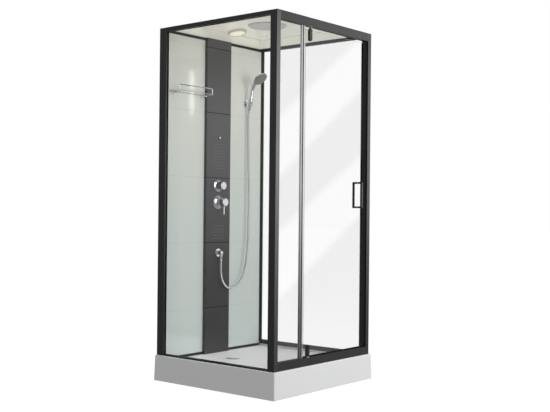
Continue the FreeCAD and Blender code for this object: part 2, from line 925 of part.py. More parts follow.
def door_handle_inner():
    grip = handle_half().mirror(V(0, front_glass_y, 0), axis_y)
    for z in handle_leg_heights():
        start = V(handle_x, glass_back, z)
        depth = handle_stud_bite + seat_gap
        grip = grip.cut(rod(start, axis_y, handle_stud_radius + seat_gap, depth))
    return grip


def pivot_clamp(z_edge, reach, up):
    half = clamp_width / 2
    low, high = sorted((z_edge - up * reach, z_edge + up * clamp_bridge))
    y0 = glass_front - clamp_thickness
    y1 = glass_back + clamp_thickness
    clamp = block(pivot_x - half, pivot_x + half, y0, y1, low, high)
    clamp = clamp.makeFillet(clamp_corner_radius, edges_along(clamp, axis_y))
    low, high = sorted((z_edge - up * reach, z_edge))
    return clamp.cut(block(pivot_x - half, pivot_x + half, glass_front, glass_back, low, high))


def pivot_clamps():
    return Part.makeCompound([
        pivot_clamp(door_z1, clamp_reach_top, 1),
        pivot_clamp(door_z0, clamp_reach_bottom, -1),
    ])


def pivot_pins():
    top = V(pivot_x, front_glass_y, door_z1 + clamp_bridge)
    top_pin = rod(top, axis_z, pivot_pin_radius, top_rail_z + pivot_pin_bite - top.z)
    bottom = V(pivot_x, front_glass_y, door_z0 - clamp_bridge)
    bottom_pin = rod(bottom, -axis_z, pivot_pin_radius, bottom.z - threshold_top + pivot_pin_bite)
    shoulder = bottom.z - threshold_top - bush_flange_thickness - seat_gap
    bottom_pin = bottom_pin.fuse(rod(bottom, -axis_z, pivot_shoulder_radius, shoulder)).removeSplitter()
    return Part.makeCompound([top_pin, bottom_pin])


def pivot_bush(base, into_rail):
    flange = rod(base, -into_rail, bush_flange_radius, bush_flange_thickness)
    sleeve = rod(base, into_rail, bush_radius, bush_length)
    start = base - into_rail * bush_flange_thickness
    bore = rod(start, into_rail, pivot_pin_radius + running_gap, bush_flange_thickness + bush_length)
    return flange.fuse(sleeve).cut(bore)


def pivot_bushes():
    return Part.makeCompound([
        pivot_bush(V(pivot_x, front_glass_y, top_rail_z), axis_z),
        pivot_bush(V(pivot_x, front_glass_y, threshold_top), -axis_z),
    ])


def door_seals():
    y0 = glass_front - magnet_strip_wall
    y1 = glass_back + magnet_strip_wall
    strip_x0 = door_x1 - magnet_strip_bite
    magnet = block(strip_x0, magnet_x1, y0, y1, door_z0, door_z1)
    magnet = magnet.cut(block(strip_x0, door_x1, glass_front, glass_back, door_z0, door_z1))
    half_clamp = clamp_width / 2 + door_edge_gap
    sweep_z = door_z0 - sweep_height
    short_sweep = block(door_x0, pivot_x - half_clamp, glass_front, glass_back, sweep_z, door_z0)
    long_sweep = block(pivot_x + half_clamp, door_x1, glass_front, glass_back, sweep_z, door_z0)
    return Part.makeCompound([magnet, short_sweep, long_sweep])


# Back wall
def back_panel():
    return block(-panel_edge, -panel_inner_edge, panel_front, panel_back, panel_bottom, panel_top)


def wall_channels():
    channels = []
    low_end = (ledge_z, ledge_z + channel_height, 1)
    high_end = (roof_seat_z - channel_height, roof_seat_z, -1)
    for z0, z1, floor in (low_end, high_end):
        bar = block(-panel_edge, -column_half_width, channel_front, channel_back, z0, z1)
        groove_low = z0 + channel_floor if floor > 0 else z0
        groove_high = z1 if floor > 0 else z1 - channel_floor
        slot = block(-panel_edge, -column_half_width, panel_front, panel_back, groove_low, groove_high)
        channel = bar.cut(slot)
        channels += [channel, mirrored_x(channel)]
    return Part.makeCompound(channels)


def column_cover():
    half = column_half_width
    cover = block(-half, half, column_front, panel_front, ledge_z, roof_seat_z)
    inner = half - column_wall
    cover = cover.cut(block(-inner, inner, column_back, panel_front, ledge_z, roof_seat_z))
    joint_z = first_joint_height
    while joint_z < roof_seat_z - joint_width:
        low = joint_z - joint_width / 2
        joint = block(-half, half, column_front, column_front + joint_depth, low, low + joint_width)
        cover = cover.cut(joint)
        joint_z += tile_height
    holes = (
        (diverter_height, diverter_sleeve_radius + hole_clearance),
        (mixer_height, mixer_sleeve_radius + hole_clearance),
        (outlet_fitting_height, outlet_shank_radius + sleeve_clearance),
    )
    for z, radius in holes:
        cover = cover.cut(rod(V(0, column_front, z), axis_y, radius, column_wall))
    return cover


# Water controls and pipes
def jet_places():
    places = []
    step = 2 * jet_half_span / (jet_columns - 1)
    for bottom, rows in ((upper_jets_bottom, upper_jet_rows), (lower_jets_bottom, lower_jet_rows)):
        for row in range(rows):
            odd = row % 2
            for column in range(jet_columns - odd):
                x = (column + odd / 2) * step - jet_half_span
                places.append((x, bottom + row * jet_row_step))
    return places


def body_jets():
    jets = []
    for x, z in jet_places():
        root = V(x, column_front, z)
        jets.append(tapered([
            polygon(jet_sides, jet_radius, root, -axis_y),
            polygon(jet_sides, jet_tip_radius, root - axis_y * jet_reach, -axis_y),
        ]))
    return Part.makeCompound(jets)


def jet_field_span(bottom, rows):
    return bottom - manifold_end_margin, bottom + (rows - 1) * jet_row_step + manifold_end_margin


def jet_manifolds():
    half = jet_half_span + manifold_margin
    boxes = []
    for bottom, rows in ((upper_jets_bottom, upper_jet_rows), (lower_jets_bottom, lower_jet_rows)):
        low, high = jet_field_span(bottom, rows)
        boxes.append(block(-half, half, column_back, column_back + manifold_depth, low, high))
    return Part.makeCompound(boxes)


def column_peg():
    root = V(0, column_front, peg_height)
    neck = rod(root, -axis_y, peg_neck_radius, peg_reach - peg_head)
    head_root = root - axis_y * (peg_reach - peg_head)
    head = rod(head_root, -axis_y, peg_radius, peg_head / 2)
    cap = dome(head_root - axis_y * (peg_head / 2), -axis_y, peg_radius, peg_head / 2)
    return neck.fuse([head, cap]).removeSplitter()


def domed_rosette(z, radius, height, bore_radius):
    root = V(0, column_front, z)
    bore = rod(root, -axis_y, bore_radius, height)
    return dome(root, -axis_y, radius, height).cut(bore)


def diverter_rosette():
    bore = diverter_sleeve_radius + sleeve_clearance
    return domed_rosette(diverter_height, diverter_rosette_radius, diverter_rosette_dome, bore)


def mixer_rosette():
    bore = mixer_sleeve_radius + sleeve_clearance
    return domed_rosette(mixer_height, mixer_rosette_radius, mixer_rosette_dome, bore)


def clamp_collar(z, radius):
    return rod(V(0, column_back, z), axis_y, radius + clamp_collar_width, clamp_collar_thickness)


def diverter_block():
    half = diverter_half_height
    z = diverter_height
    body = block(-diverter_half_width, diverter_half_width, collar_back, diverter_back, z - half, z + half)
    sleeve = rod(V(0, sleeve_front, z), axis_y, diverter_sleeve_radius, collar_back - sleeve_front)
    bore_depth = diverter_spindle_bite + sleeve_clearance
    bore = rod(V(0, sleeve_front, z), axis_y, diverter_spindle_radius + running_gap, bore_depth)
    return body.fuse([sleeve, clamp_collar(z, diverter_sleeve_radius)]).cut(bore)


def diverter_knob():
    back = V(0, column_front - diverter_knob_back, diverter_height)
    grip = rod(back, -axis_y, diverter_knob_radius, diverter_knob_length)
    front_y = back.y - diverter_knob_length
    front = [edge for edge in grip.Edges if edge.BoundBox.YMax < front_y + running_gap]
    grip = grip.makeFillet(diverter_knob_edge, front)
    reach = sleeve_front - back.y + diverter_spindle_bite
    return grip.fuse(rod(back, axis_y, diverter_spindle_radius, reach))


def mixer_body():
    z = mixer_height
    bar_end = inlet_spacing / 2 + mixer_bar_end
    core = rod(V(0, column_back, z), axis_y, mixer_core_radius, mixer_back - column_back)
    sleeve = rod(V(0, sleeve_front, z), axis_y, mixer_sleeve_radius, column_back - sleeve_front)
    bar = rod(V(-bar_end, mixer_bar_y, z), axis_x, mixer_bar_radius, 2 * bar_end)
    pieces = [sleeve, clamp_collar(z, mixer_core_radius), bar]
    inlet_root = inlet_end - inlet_length
    for side in (-1, 1):
        x = side * inlet_spacing / 2
        boss_front = mixer_bar_y - mixer_bar_radius + inlet_boss_inset
        boss = block(x - inlet_boss, x + inlet_boss, boss_front, inlet_root, z - inlet_boss, z + inlet_boss)
        pieces += [boss, rod(V(x, inlet_root, z), axis_y, inlet_radius, inlet_length)]
    bore_depth = collar_back - sleeve_front + sleeve_clearance
    bore = rod(V(0, sleeve_front, z), axis_y, mixer_neck_radius + running_gap, bore_depth)
    return core.fuse(pieces).removeSplitter().cut(bore)


def mixer_ball_stem():
    middle = V(0, mixer_ball_y, mixer_height)
    ball = Part.makeSphere(mixer_ball_radius, middle)
    neck = rod(middle, axis_y, mixer_neck_radius, collar_back - mixer_ball_y)
    reach = mixer_ball_radius + mixer_pin_reach
    return ball.fuse([neck, rod(middle - axis_x * reach, axis_x, mixer_pin_radius, 2 * reach)])


def mixer_handle():
    middle = V(0, mixer_ball_y, mixer_height)
    cap = rod(V(0, mixer_cap_back, mixer_height), -axis_y, mixer_cap_radius, mixer_cap_length)
    front = [edge for edge in cap.Edges if edge.BoundBox.YMax < mixer_cap_front + running_gap]
    cap = cap.makeFillet(mixer_cap_edge, front)
    root = V(0, mixer_ball_y - mixer_lever_offset, mixer_height - mixer_cap_radius + mixer_lever_root)
    length = mixer_lever_root + mixer_lever_length
    lever = rod(root, -axis_z, mixer_lever_radius, length)
    tip = Part.makeSphere(mixer_lever_radius, root - axis_z * length)
    reach = mixer_ball_radius + mixer_pin_reach + seat_gap
    pin_bore = rod(middle - axis_x * reach, axis_x, mixer_pin_radius + running_gap, 2 * reach)
    cavity = Part.makeSphere(mixer_ball_radius + mixer_ball_gap, middle)
    return cap.fuse([lever, tip]).cut(cavity).cut(pin_bore)


def water_pipes():
    side_pipe_offset = jet_half_span + manifold_margin + side_pipe_gap + pipe_radius
    diverter_top = diverter_height + diverter_half_height
    diverter_low = diverter_height - diverter_half_height
    jet_y = column_back + manifold_depth / 2
    upper_low, upper_high = jet_field_span(upper_jets_bottom, upper_jet_rows)
    lower_low, lower_high = jet_field_span(lower_jets_bottom, lower_jet_rows)
    rain = bent_pipe(
        [
            V(0, rain_stem_radius, elbow_z + rain_elbow_height / 2),
            V(0, rain_pipe_y, elbow_z + rain_elbow_height / 2),
            V(0, rain_pipe_y, diverter_top),
        ],
        rain_pipe_bend_radius, rain_pipe_radius,
    )
    hose_feed = bent_pipe(
        [
            V(side_pipe_offset, jet_y, diverter_low),
            V(side_pipe_offset, jet_y, outlet_fitting_height),
            V(outlet_block, jet_y, outlet_fitting_height),
        ],
        pipe_bend_radius, pipe_radius,
    )
    feed_x = -jet_pipe_offset
    upper_feed = rod(V(feed_x, jet_y, diverter_top), axis_z, pipe_radius, upper_low - diverter_top)
    lower_feed = rod(V(feed_x, jet_y, diverter_low), -axis_z, pipe_radius, diverter_low - lower_high)
    mixer_top = mixer_height + mixer_bar_radius
    mixer_feed = rod(V(0, mixer_bar_y, mixer_top), axis_z, mixer_pipe_radius, diverter_low - mixer_top)
    core = rod(V(0, column_back, mixer_height), axis_y, mixer_core_radius, half_depth)
    return Part.makeCompound([rain, hose_feed, upper_feed, lower_feed, mixer_feed.cut(core)])


# Hose and hand shower
def hose_outlet():
    z = outlet_fitting_height
    root = V(0, column_front, z)
    rosette = rod(root, -axis_y, outlet_rosette_radius, outlet_rosette_thickness)
    body = rod(root, -axis_y, outlet_body_radius, outlet_body_reach)
    end_y = column_front - outlet_body_reach
    body = body.makeFillet(outlet_body_edge, [e for e in body.Edges if e.BoundBox.YMax < end_y + running_gap])
    spout = rod(V(0, outlet_spout_y, z), -axis_z, outlet_spout_radius, outlet_spout_drop)
    shank = rod(root, axis_y, outlet_shank_radius, column_wall)
    back = column_back + manifold_depth
    socket = block(-outlet_block, outlet_block, column_back, back, z - outlet_block, z + outlet_block)
    elbow = rosette.fuse([body, spout, shank, socket]).removeSplitter()
    nut = Part.makeCone(hose_nut_tip_radius, hose_nut_radius, hose_nut_length, hose_start)
    return Part.makeCompound([elbow, nut])


def shower_hose():
    span = hose_end - hose_start
    points = [hose_start, hose_start - axis_z * hose_lead]
    for across, out, up in hose_route:
        points.append(hose_start + V(across * span.x, out * span.y, up * span.z))
    points += [hose_end - hand_axis * hose_tail, hose_end]
    radii = cord_radii(points)
    path = bent_path(points, radii)
    hose = tube(path, hose_radius, points[0], points[1] - points[0])
    section = math.pi * hose_radius ** 2
    print("hose radii", [round(radius) for radius in radii])
    print("hose length", round(path.Length, 1), "volume over section", round(hose.Volume / section, 1))
    return hose


def hand_placed(shape):
    shape.Placement = FreeCAD.Placement(hand_foot, FreeCAD.Rotation(axis_x, hand_shower_lean))
    return shape


def head_frame():
    turn = math.radians(handle_bend_turn)
    bend_rise = handle_bend_radius * math.sin(turn)
    bend_out = handle_bend_radius * (1 - math.cos(turn))
    bend_end = V(0, -bend_out, handle_straight + bend_rise)
    along = V(0, -math.sin(turn), math.cos(turn))
    return bend_end, along, V(0, -math.cos(turn), -math.sin(turn))


def hand_shower_body():
    bend_end, along, face_normal = head_frame()
    foot = turned([
        (0, 0), (handle_foot_radius, 0), (handle_seat_low_radius, handle_seat_start),
        (handle_seat_high_radius, handle_seat_end), (handle_grip_radius, handle_straight),
        (0, handle_straight),
    ])
    turn = math.radians(handle_bend_turn)
    knee = V(0, 0, handle_straight + handle_bend_radius * math.tan(turn / 2))
    start = V(0, 0, handle_straight)
    head_middle = bend_end + along * handle_head_run
    neck = bent_pipe([start - axis_z, knee, head_middle], handle_bend_radius, handle_grip_radius)
    head = turned([
        (0, 0), (head_radius, 0), (head_radius, head_rim), (head_back_radius, head_depth), (0, head_depth),
    ])
    face_middle = head_middle + face_normal * head_axis_depth
    head.Placement = FreeCAD.Placement(face_middle, FreeCAD.Rotation(axis_z, face_normal * -1))
    return hand_placed(foot.fuse([neck, head]))


def spray_face():
    bend_end, along, face_normal = head_frame()
    face_middle = bend_end + along * handle_head_run + face_normal * head_axis_depth
    plate = turned([
        (0, 0), (face_radius, 0), (face_radius - face_edge, face_thickness), (0, face_thickness),
    ])
    plate.Placement = FreeCAD.Placement(face_middle, FreeCAD.Rotation(axis_z, face_normal))
    return hand_placed(Part.makeCompound([plate]))


def hand_nut():
    nut = turned([
        (0, -hand_nut_length), (hose_nut_tip_radius, -hand_nut_length), (hand_nut_radius, 0), (0, 0),
    ])
    return hand_placed(nut)


def hand_bracket():
    wall = V(hand_shower_x, panel_front, cup_middle.z)
    disc = rod(wall, -axis_y, bracket_disc_radius, bracket_disc_thickness)
    arm = rod(wall, -axis_y, bracket_arm_radius, panel_front - cup_middle.y)
    length = handle_seat_end - handle_seat_start
    cup = rod(cup_middle - hand_axis * (length / 2), hand_axis, cup_radius, length)
    taper = (handle_seat_high_radius - handle_seat_low_radius) / length
    spare = clamp_collar_thickness
    bore = Part.makeCone(
        handle_seat_low_radius + seat_gap - taper * spare, handle_seat_high_radius + seat_gap + taper * spare,
        length + 2 * spare, cup_middle - hand_axis * (length / 2 + spare), hand_axis,
    )
    slot = Part.makeBox(cup_slot_width, 2 * cup_radius, length + 2 * spare)
    slot.translate(V(-cup_slot_width / 2, -2 * cup_radius, handle_seat_start - spare))
    return disc.fuse([arm, cup]).cut(bore).cut(hand_placed(slot))


# Shelf
def shelf_front():
    return panel_front - shelf_back_gap - shelf_depth


def shelf_glass():
    y1 = panel_front - shelf_back_gap
    pane = block(
        shelf_left, shelf_left + shelf_length, shelf_front(), y1, shelf_height, shelf_height + shelf_thickness
    )
    front = [edge for edge in edges_along(pane, axis_z) if edge.BoundBox.YMax < y1 - running_gap]
    return pane.makeFillet(shelf_corner_radius, front)


def gallery_rail():
    x0 = shelf_left + rail_post_inset
    x1 = shelf_left + shelf_length - rail_post_inset
    y = shelf_front() + rail_post_inset
    z0 = shelf_height + shelf_thickness
    points = [V(x0, y, z0), V(x0, y, z0 + gallery_height), V(x1, y, z0 + gallery_height), V(x1, y, z0)]
    return bent_pipe(points, gallery_bend_radius, gallery_radius)


def shelf_brackets():
    brackets = []
    half = shelf_bracket_width / 2
    for x in (shelf_left + shelf_bracket_inset, shelf_left + shelf_length - shelf_bracket_inset):
        y0 = panel_front - shelf_bracket_depth
        wedge = [
            V(x - half, panel_front, shelf_height), V(x - half, y0, shelf_height),
            V(x - half, y0, shelf_height - shelf_bracket_height / 2),
            V(x - half, panel_front, shelf_height - shelf_bracket_height),
        ]
        face = Part.Face(Part.makePolygon(wedge + [wedge[0]]))
        brackets.append(face.extrude(axis_x * shelf_bracket_width))
    return Part.makeCompound(brackets)


# Roof, light and rain head
def roof_ring(share, inset, z):
    return rectangle(roof_reach_x * share + inset, roof_reach_y * share + inset, z)


def roof_tent(lift):
    seat = roof_seat_z + lift
    step_z = seat + roof_reach_y * (1 - roof_step_share) * roof_slope
    return tapered([
        roof_ring(1, 0, seat),
        roof_ring(roof_step_share, roof_step_run, step_z),
        roof_ring(roof_step_share, 0, step_z + roof_step_rise),
        roof_ring(roof_flat_share, 0, roof_flat_z + lift),
    ])


def lamp_placed(shape):
    shape.Placement = lamp_place
    return shape


def roof_panel():
    flange_top = roof_seat_z + roof_thickness
    flange = block(-roof_half_x, roof_half_x, -roof_half_y, roof_half_y, roof_seat_z, flange_top)
    skin = flange.fuse(roof_tent(roof_thickness)).cut(roof_tent(0))
    pad = lamp_placed(rod(V(0, 0, 0), axis_z, lamp_pad_radius, lamp_pad_depth))
    hole = lamp_placed(rod(V(0, 0, -lamp_pad_depth), axis_z, lamp_hole_radius, 3 * lamp_pad_depth))
    stem_hole = rod(V(0, 0, roof_flat_z), axis_z, rain_stem_radius + sleeve_clearance, roof_thickness)
    return skin.fuse(pad).removeSplitter().cut(hole).cut(stem_hole)


def light_bezel():
    edge = lamp_bezel_depth / 2
    ring = turned([
        (lamp_lens_radius + seat_gap, 0), (lamp_bezel_radius, 0), (lamp_bezel_radius, -edge),
        (lamp_bezel_radius - edge, -lamp_bezel_depth), (lamp_lens_radius + seat_gap, -lamp_bezel_depth),
    ])
    return lamp_placed(ring)


def light_lens():
    disc = rod(V(0, 0, 0), -axis_z, lamp_lens_radius, lamp_lens_edge)
    bulge = dome(V(0, 0, -lamp_lens_edge), -axis_z, lamp_lens_radius, lamp_lens_dome)
    return lamp_placed(disc.fuse(bulge).removeSplitter())


def lamp_can():
    wall = lamp_can_flange_thickness
    seat = lamp_pad_depth
    can = turned([
        (0, lamp_can_height - wall), (lamp_can_radius - wall, lamp_can_height - wall),
        (lamp_can_radius - wall, wall), (lamp_can_radius, wall), (lamp_can_radius, seat),
        (lamp_can_flange_radius, seat), (lamp_can_flange_radius, seat + wall), (lamp_can_radius, seat + wall),
        (lamp_can_radius, lamp_can_height), (0, lamp_can_height),
    ])
    return lamp_placed(can)


def rain_head_body():
    return turned([
        (0, rain_body_bottom), (rain_radius, rain_body_bottom),
        (rain_radius, rain_body_bottom + rain_body_edge),
        (rain_shoulder_radius, rain_body_top), (0, rain_body_top),
    ])


def rain_head_face():
    low = rain_body_bottom - rain_face_thickness
    edge = rain_face_thickness / 2
    return turned([
        (0, low), (rain_face_radius - edge, low), (rain_face_radius, low + edge),
        (rain_face_radius, rain_body_bottom), (0, rain_body_bottom),
    ])


def rain_head_stem():
    shoulder = rod(V(0, 0, rain_body_top), axis_z, rain_shoulder_radius, rain_shoulder_height)
    stem = rod(V(0, 0, rain_body_top), axis_z, rain_stem_radius, elbow_z - rain_body_top)
    half = rain_stem_radius
    elbow = block(-half, half, -half, half, elbow_z, elbow_z + rain_elbow_height)
    nut_base = V(0, 0, roof_flat_top)
    nut = Part.Face(polygon(6, rain_nut_radius, nut_base, axis_z)).extrude(axis_z * rain_nut_height)
    bore = rod(nut_base, axis_z, rain_stem_radius + seat_gap, rain_nut_height)
    return Part.makeCompound([stem.fuse([shoulder, elbow]).removeSplitter(), nut.cut(bore)])


left_glass = side_glass()
left_panel = back_panel()
left_sill = side_sill()
left_rail = side_top_rail()
rear_post = rear_left_post()
back_top = back_rail(frame_height - back_top_rail_height, frame_height)
back_bottom = back_rail(tray_height, tray_height + back_bottom_rail_height)

nodes = {
    "shower_tray": shower_tray(),
    "tray_beams": tray_beams(),
    "levelling_feet": levelling_feet(),
    "drain_trap": drain_trap(),
    "drain_flange": drain_flange(),
    "drain_cover": drain_cover(),
    "front_left_post": front_left_post(),
    "front_right_post": front_right_post(),
    "rear_left_post": rear_post,
    "rear_right_post": mirrored_x(rear_post),
    "post_caps": post_caps(),
    "side_top_rails": Part.makeCompound([left_rail, mirrored_x(left_rail)]),
    "front_top_rail": front_top_rail(),
    "back_rails": Part.makeCompound([back_top, back_bottom]),
    "side_sills": Part.makeCompound([left_sill, mirrored_x(left_sill)]),
    "front_threshold": front_threshold(),
    "left_glass": left_glass,
    "right_glass": mirrored_x(left_glass),
    "fixed_front_glass": fixed_front_glass(),
    "fixed_pane_profile": fixed_pane_profile(),
    "front_seals": Part.makeCompound([fin_seal(), magnet_jamb()]),
    "glazing_gaskets": glazing_gaskets(),
    "pivot_bushes": pivot_bushes(),
    "back_panel_left": left_panel,
    "back_panel_right": mirrored_x(left_panel),
    "wall_channels": wall_channels(),
    "column_cover": column_cover(),
    "body_jets": body_jets(),
    "jet_manifolds": jet_manifolds(),
    "column_peg": column_peg(),
    "control_rosettes": Part.makeCompound([diverter_rosette(), mixer_rosette()]),
    "diverter_block": diverter_block(),
    "mixer_body": mixer_body(),
    "water_pipes": water_pipes(),
    "hose_outlet": hose_outlet(),
    "shower_hose": shower_hose(),
    "hand_bracket": hand_bracket(),
    "shelf_glass": shelf_glass(),
    "gallery_rail": gallery_rail(),
    "shelf_brackets": shelf_brackets(),
    "roof_panel": roof_panel(),
    "light_bezel": light_bezel(),
    "light_lens": light_lens(),
    "lamp_can": lamp_can(),
    "rain_head_body": rain_head_body(),
    "rain_head_face": rain_head_face(),
    "rain_head_stem": rain_head_stem(),
    "door_glass": door_glass(),
    "pivot_clamps": pivot_clamps(),
    "pivot_pins": pivot_pins(),
    "door_handle_outer": door_handle_outer(),
    "door_handle_inner": door_handle_inner(),
    "door_seals": door_seals(),
    "diverter_knob": diverter_knob(),
    "mixer_ball_stem": mixer_ball_stem(),
    "mixer_handle": mixer_handle(),
    "hand_shower_body": hand_shower_body(),
    "spray_face": spray_face(),
    "hand_nut": hand_nut(),
}

os.makedirs("parts", exist_ok=True)
for name, shape in nodes.items():
    shape.exportStep("parts/%s.step" % name)
print(len(nodes), "nodes")
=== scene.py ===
import bpy
import math
from mathutils import Matrix, Vector


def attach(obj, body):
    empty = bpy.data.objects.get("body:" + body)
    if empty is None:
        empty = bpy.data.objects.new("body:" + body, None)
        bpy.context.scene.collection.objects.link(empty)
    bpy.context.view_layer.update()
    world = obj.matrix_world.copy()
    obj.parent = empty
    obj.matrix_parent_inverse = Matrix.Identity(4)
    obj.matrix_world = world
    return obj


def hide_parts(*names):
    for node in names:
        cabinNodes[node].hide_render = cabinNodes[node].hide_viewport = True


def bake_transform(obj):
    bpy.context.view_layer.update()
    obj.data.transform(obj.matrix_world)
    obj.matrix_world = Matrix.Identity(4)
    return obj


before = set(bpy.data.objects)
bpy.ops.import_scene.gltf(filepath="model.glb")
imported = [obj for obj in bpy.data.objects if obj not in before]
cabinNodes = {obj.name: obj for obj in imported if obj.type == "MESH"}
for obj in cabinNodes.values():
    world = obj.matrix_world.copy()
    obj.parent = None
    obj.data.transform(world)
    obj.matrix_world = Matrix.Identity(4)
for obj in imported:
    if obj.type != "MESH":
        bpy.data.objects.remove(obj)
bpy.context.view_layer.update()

scene = bpy.context.scene
scene.view_settings.view_transform = "Standard"
print("frame loaded with", len(cabinNodes), "nodes")

# where the viewer stands, in metres and degrees, with lens and sensor in millimetres
viewPoint = {
    "place": (-4.2364, -3.5883, 1.006),
    "yaw": 50.315,
    "pitch": 0.305,
    "roll": 0.547,
    "lens": 60.833,
    "sensor": 36.0,
}


def setCamera():
    lensData = bpy.data.cameras.new("viewCamera")
    lensData.sensor_width = viewPoint["sensor"]
    lensData.lens = viewPoint["lens"]
    camera = bpy.data.objects.new("viewCamera", lensData)
    scene.collection.objects.link(camera)
    yaw = math.radians(viewPoint["yaw"])
    pitch = math.radians(viewPoint["pitch"])
    roll = math.radians(viewPoint["roll"])
    ahead = Vector((math.sin(yaw) * math.cos(pitch), math.cos(yaw) * math.cos(pitch), math.sin(pitch)))
    level = Vector((math.cos(yaw), -math.sin(yaw), 0))
    upward = level.cross(ahead)
    right = level * math.cos(roll) + upward * math.sin(roll)
    above = upward * math.cos(roll) - level * math.sin(roll)
    turn = Matrix((right, above, -ahead)).transposed().to_4x4()
    camera.matrix_world = Matrix.Translation(viewPoint["place"]) @ turn
    scene.camera = camera


setCamera()
print("camera set")


# one socket of a node, so that shader maths reads as sums
class Wire:
    def __init__(self, paint, socket):
        self.paint = paint
        self.socket = socket

    def maths(self, operation, first, second=0.0):
        return self.paint.node("ShaderNodeMath", {"operation": operation}, {0: first, 1: second})

    def __add__(self, other):
        return self.maths("ADD", self, other)

    def __radd__(self, other):
        return self.maths("ADD", other, self)

    def __sub__(self, other):
        return self.maths("SUBTRACT", self, other)

    def __rsub__(self, other):
        return self.maths("SUBTRACT", other, self)

    def __mul__(self, other):
        return self.maths("MULTIPLY", self, other)

    def __rmul__(self, other):
        return self.maths("MULTIPLY", other, self)

    def __gt__(self, other):
        return self.maths("GREATER_THAN", self, other)

    def __lt__(self, other):
        return self.maths("LESS_THAN", self, other)

    def __mod__(self, other):
        return self.maths("FLOORED_MODULO", self, other)

    def __abs__(self):
        return self.maths("ABSOLUTE", self)


# one material, or the world, while it is being mixed
class Paint:
    def __init__(self, name, kind="materials"):
        self.holder = getattr(bpy.data, kind).new(name)
        self.holder.use_nodes = True
        self.tree = self.holder.node_tree
        self.tree.nodes.clear()
        self.place = self.node("ShaderNodeTexCoord", outlet="Object")

    def node(self, kind, settings=None, sockets=None, outlet=0):
        made = self.tree.nodes.new(kind)
        for key, value in (settings or {}).items():
            setattr(made, key, value)
        for key, value in (sockets or {}).items():
            if isinstance(value, Wire):
                self.tree.links.new(value.socket, made.inputs[key])
            else:
                made.inputs[key].default_value = value
        return Wire(self, made.outputs[outlet]) if made.outputs else None

    def along(self, axis):
        return self.node("ShaderNodeSeparateXYZ", sockets={0: self.place}, outlet="XYZ".index(axis))

    def facing(self, axis):
        normal = self.node("ShaderNodeTexCoord", outlet="Normal")
        return abs(self.node("ShaderNodeSeparateXYZ", sockets={0: normal}, outlet="XYZ".index(axis)))

    def noise(self, scale, detail=3.0, stretch=(1, 1, 1)):
        spread = self.node("ShaderNodeMapping", sockets={"Vector": self.place, "Scale": stretch})
        return self.node("ShaderNodeTexNoise", sockets={"Vector": spread, "Scale": scale, "Detail": detail})

    def fade(self, value, low, high):
        return self.node("ShaderNodeMapRange", {"interpolation_type": "SMOOTHSTEP"}, {
            "Value": value, "From Min": low, "From Max": high,
        })

    def mix(self, share, first, second):
        return self.node("ShaderNodeMix", {"data_type": "RGBA"}, {0: share, 6: first, 7: second}, outlet=2)

    def relief(self, height, strength, distance=0.001):
        return self.node("ShaderNodeBump", sockets={
            "Height": height, "Strength": strength, "Distance": distance,
        })

    def finish(self, **sockets):
        named = {key.replace("_", " "): value for key, value in sockets.items()}
        skin = self.node("ShaderNodeBsdfPrincipled", sockets=named)
        self.node("ShaderNodeOutputMaterial", sockets={"Surface": skin})
        return self.holder


def rgb(red, green, blue):
    return (red, green, blue, 1.0)


# Finishes

def trayAcrylic():
    paint = Paint("trayAcrylic")
    cloud = paint.noise(2.2, 4.0)
    peel = paint.noise(140.0, 2.0)
    tread = paint.fade(paint.facing("Z"), 0.6, 0.95)  # the standing floor is matt
    return paint.finish(
        Base_Color=paint.mix(cloud, rgb(0.75, 0.75, 0.75), rgb(0.71, 0.715, 0.72)),
        Roughness=0.26 + cloud * 0.04 + tread * 0.30,
        Coat_Weight=0.35 - tread * 0.35,
        Coat_Roughness=0.08,
        Normal=paint.relief(peel, 0.03),
    )


def blackFrame():
    paint = Paint("blackFrame")
    grain = paint.noise(900.0, 2.0)
    drift = paint.noise(3.0, 3.0, (6, 6, 0.6))
    # painted reflection: the black base is lighter towards the top and darker towards the foot
    paintedLightRise = paint.fade(paint.along("Z"), 0.2, 1.9)
    base = paint.mix(paintedLightRise, rgb(0.007, 0.007, 0.0075), rgb(0.014, 0.014, 0.0145))
    return paint.finish(
        Base_Color=paint.mix(drift * 0.5, base, rgb(0.017, 0.017, 0.018)),
        Roughness=0.34 + drift * 0.12 + grain * 0.05,
        Specular_IOR_Level=0.42,
        Normal=paint.relief(grain, 0.05, 0.0004),
    )


# the upright profile of the fixed pane, with the two sides of its lip, where a dark band of painted shade
# lies, and the heights over which its painted reflection turns pale, in metres
profileLook = {
    "middle": -0.215,
    "lipLeft": (-0.2145, -0.2135),
    "lipRight": (-0.2030, -0.2020),
    "paling": (0.2, 1.25),
}


def silverProfile():
    paint = Paint("silverProfile")
    brush = paint.noise(160.0, 3.0, (8, 8, 0.15))
    # painted reflection: the profile is pale towards the top and dark towards the foot
    paintedLightRise = paint.fade(paint.along("Z"), *profileLook["paling"])
    across = paint.along("X")
    # painted shade: a near-black band across the lip
    grooveShade = paint.fade(across, *profileLook["lipLeft"]) - paint.fade(across, *profileLook["lipRight"])
    base = paint.mix(paintedLightRise, rgb(0.24, 0.245, 0.25), rgb(0.94, 0.95, 0.96))
    base = paint.mix(grooveShade * 0.95, base, rgb(0.02, 0.02, 0.021))
    return paint.finish(
        Base_Color=base,
        Metallic=0.15,
        Roughness=0.36 + brush * 0.16,
        Normal=paint.relief(brush, 0.06, 0.0004),
    )


def chromePlate():
    paint = Paint("chromePlate")
    smear = paint.noise(18.0, 4.0)
    fine = paint.noise(420.0, 2.0)
    return paint.finish(
        Base_Color=paint.mix(smear, rgb(0.80, 0.81, 0.83), rgb(0.70, 0.71, 0.73)),
        Metallic=1.0,
        Roughness=0.06 + smear * 0.10,
        Normal=paint.relief(fine, 0.01, 0.0003),
    )


def hoseSteel():
    paint = Paint("hoseSteel")
    smear = paint.noise(26.0, 4.0)
    return paint.finish(
        Base_Color=paint.mix(smear, rgb(0.76, 0.77, 0.78), rgb(0.64, 0.65, 0.66)),
        Metallic=1.0,
        Roughness=0.24 + smear * 0.14,
    )


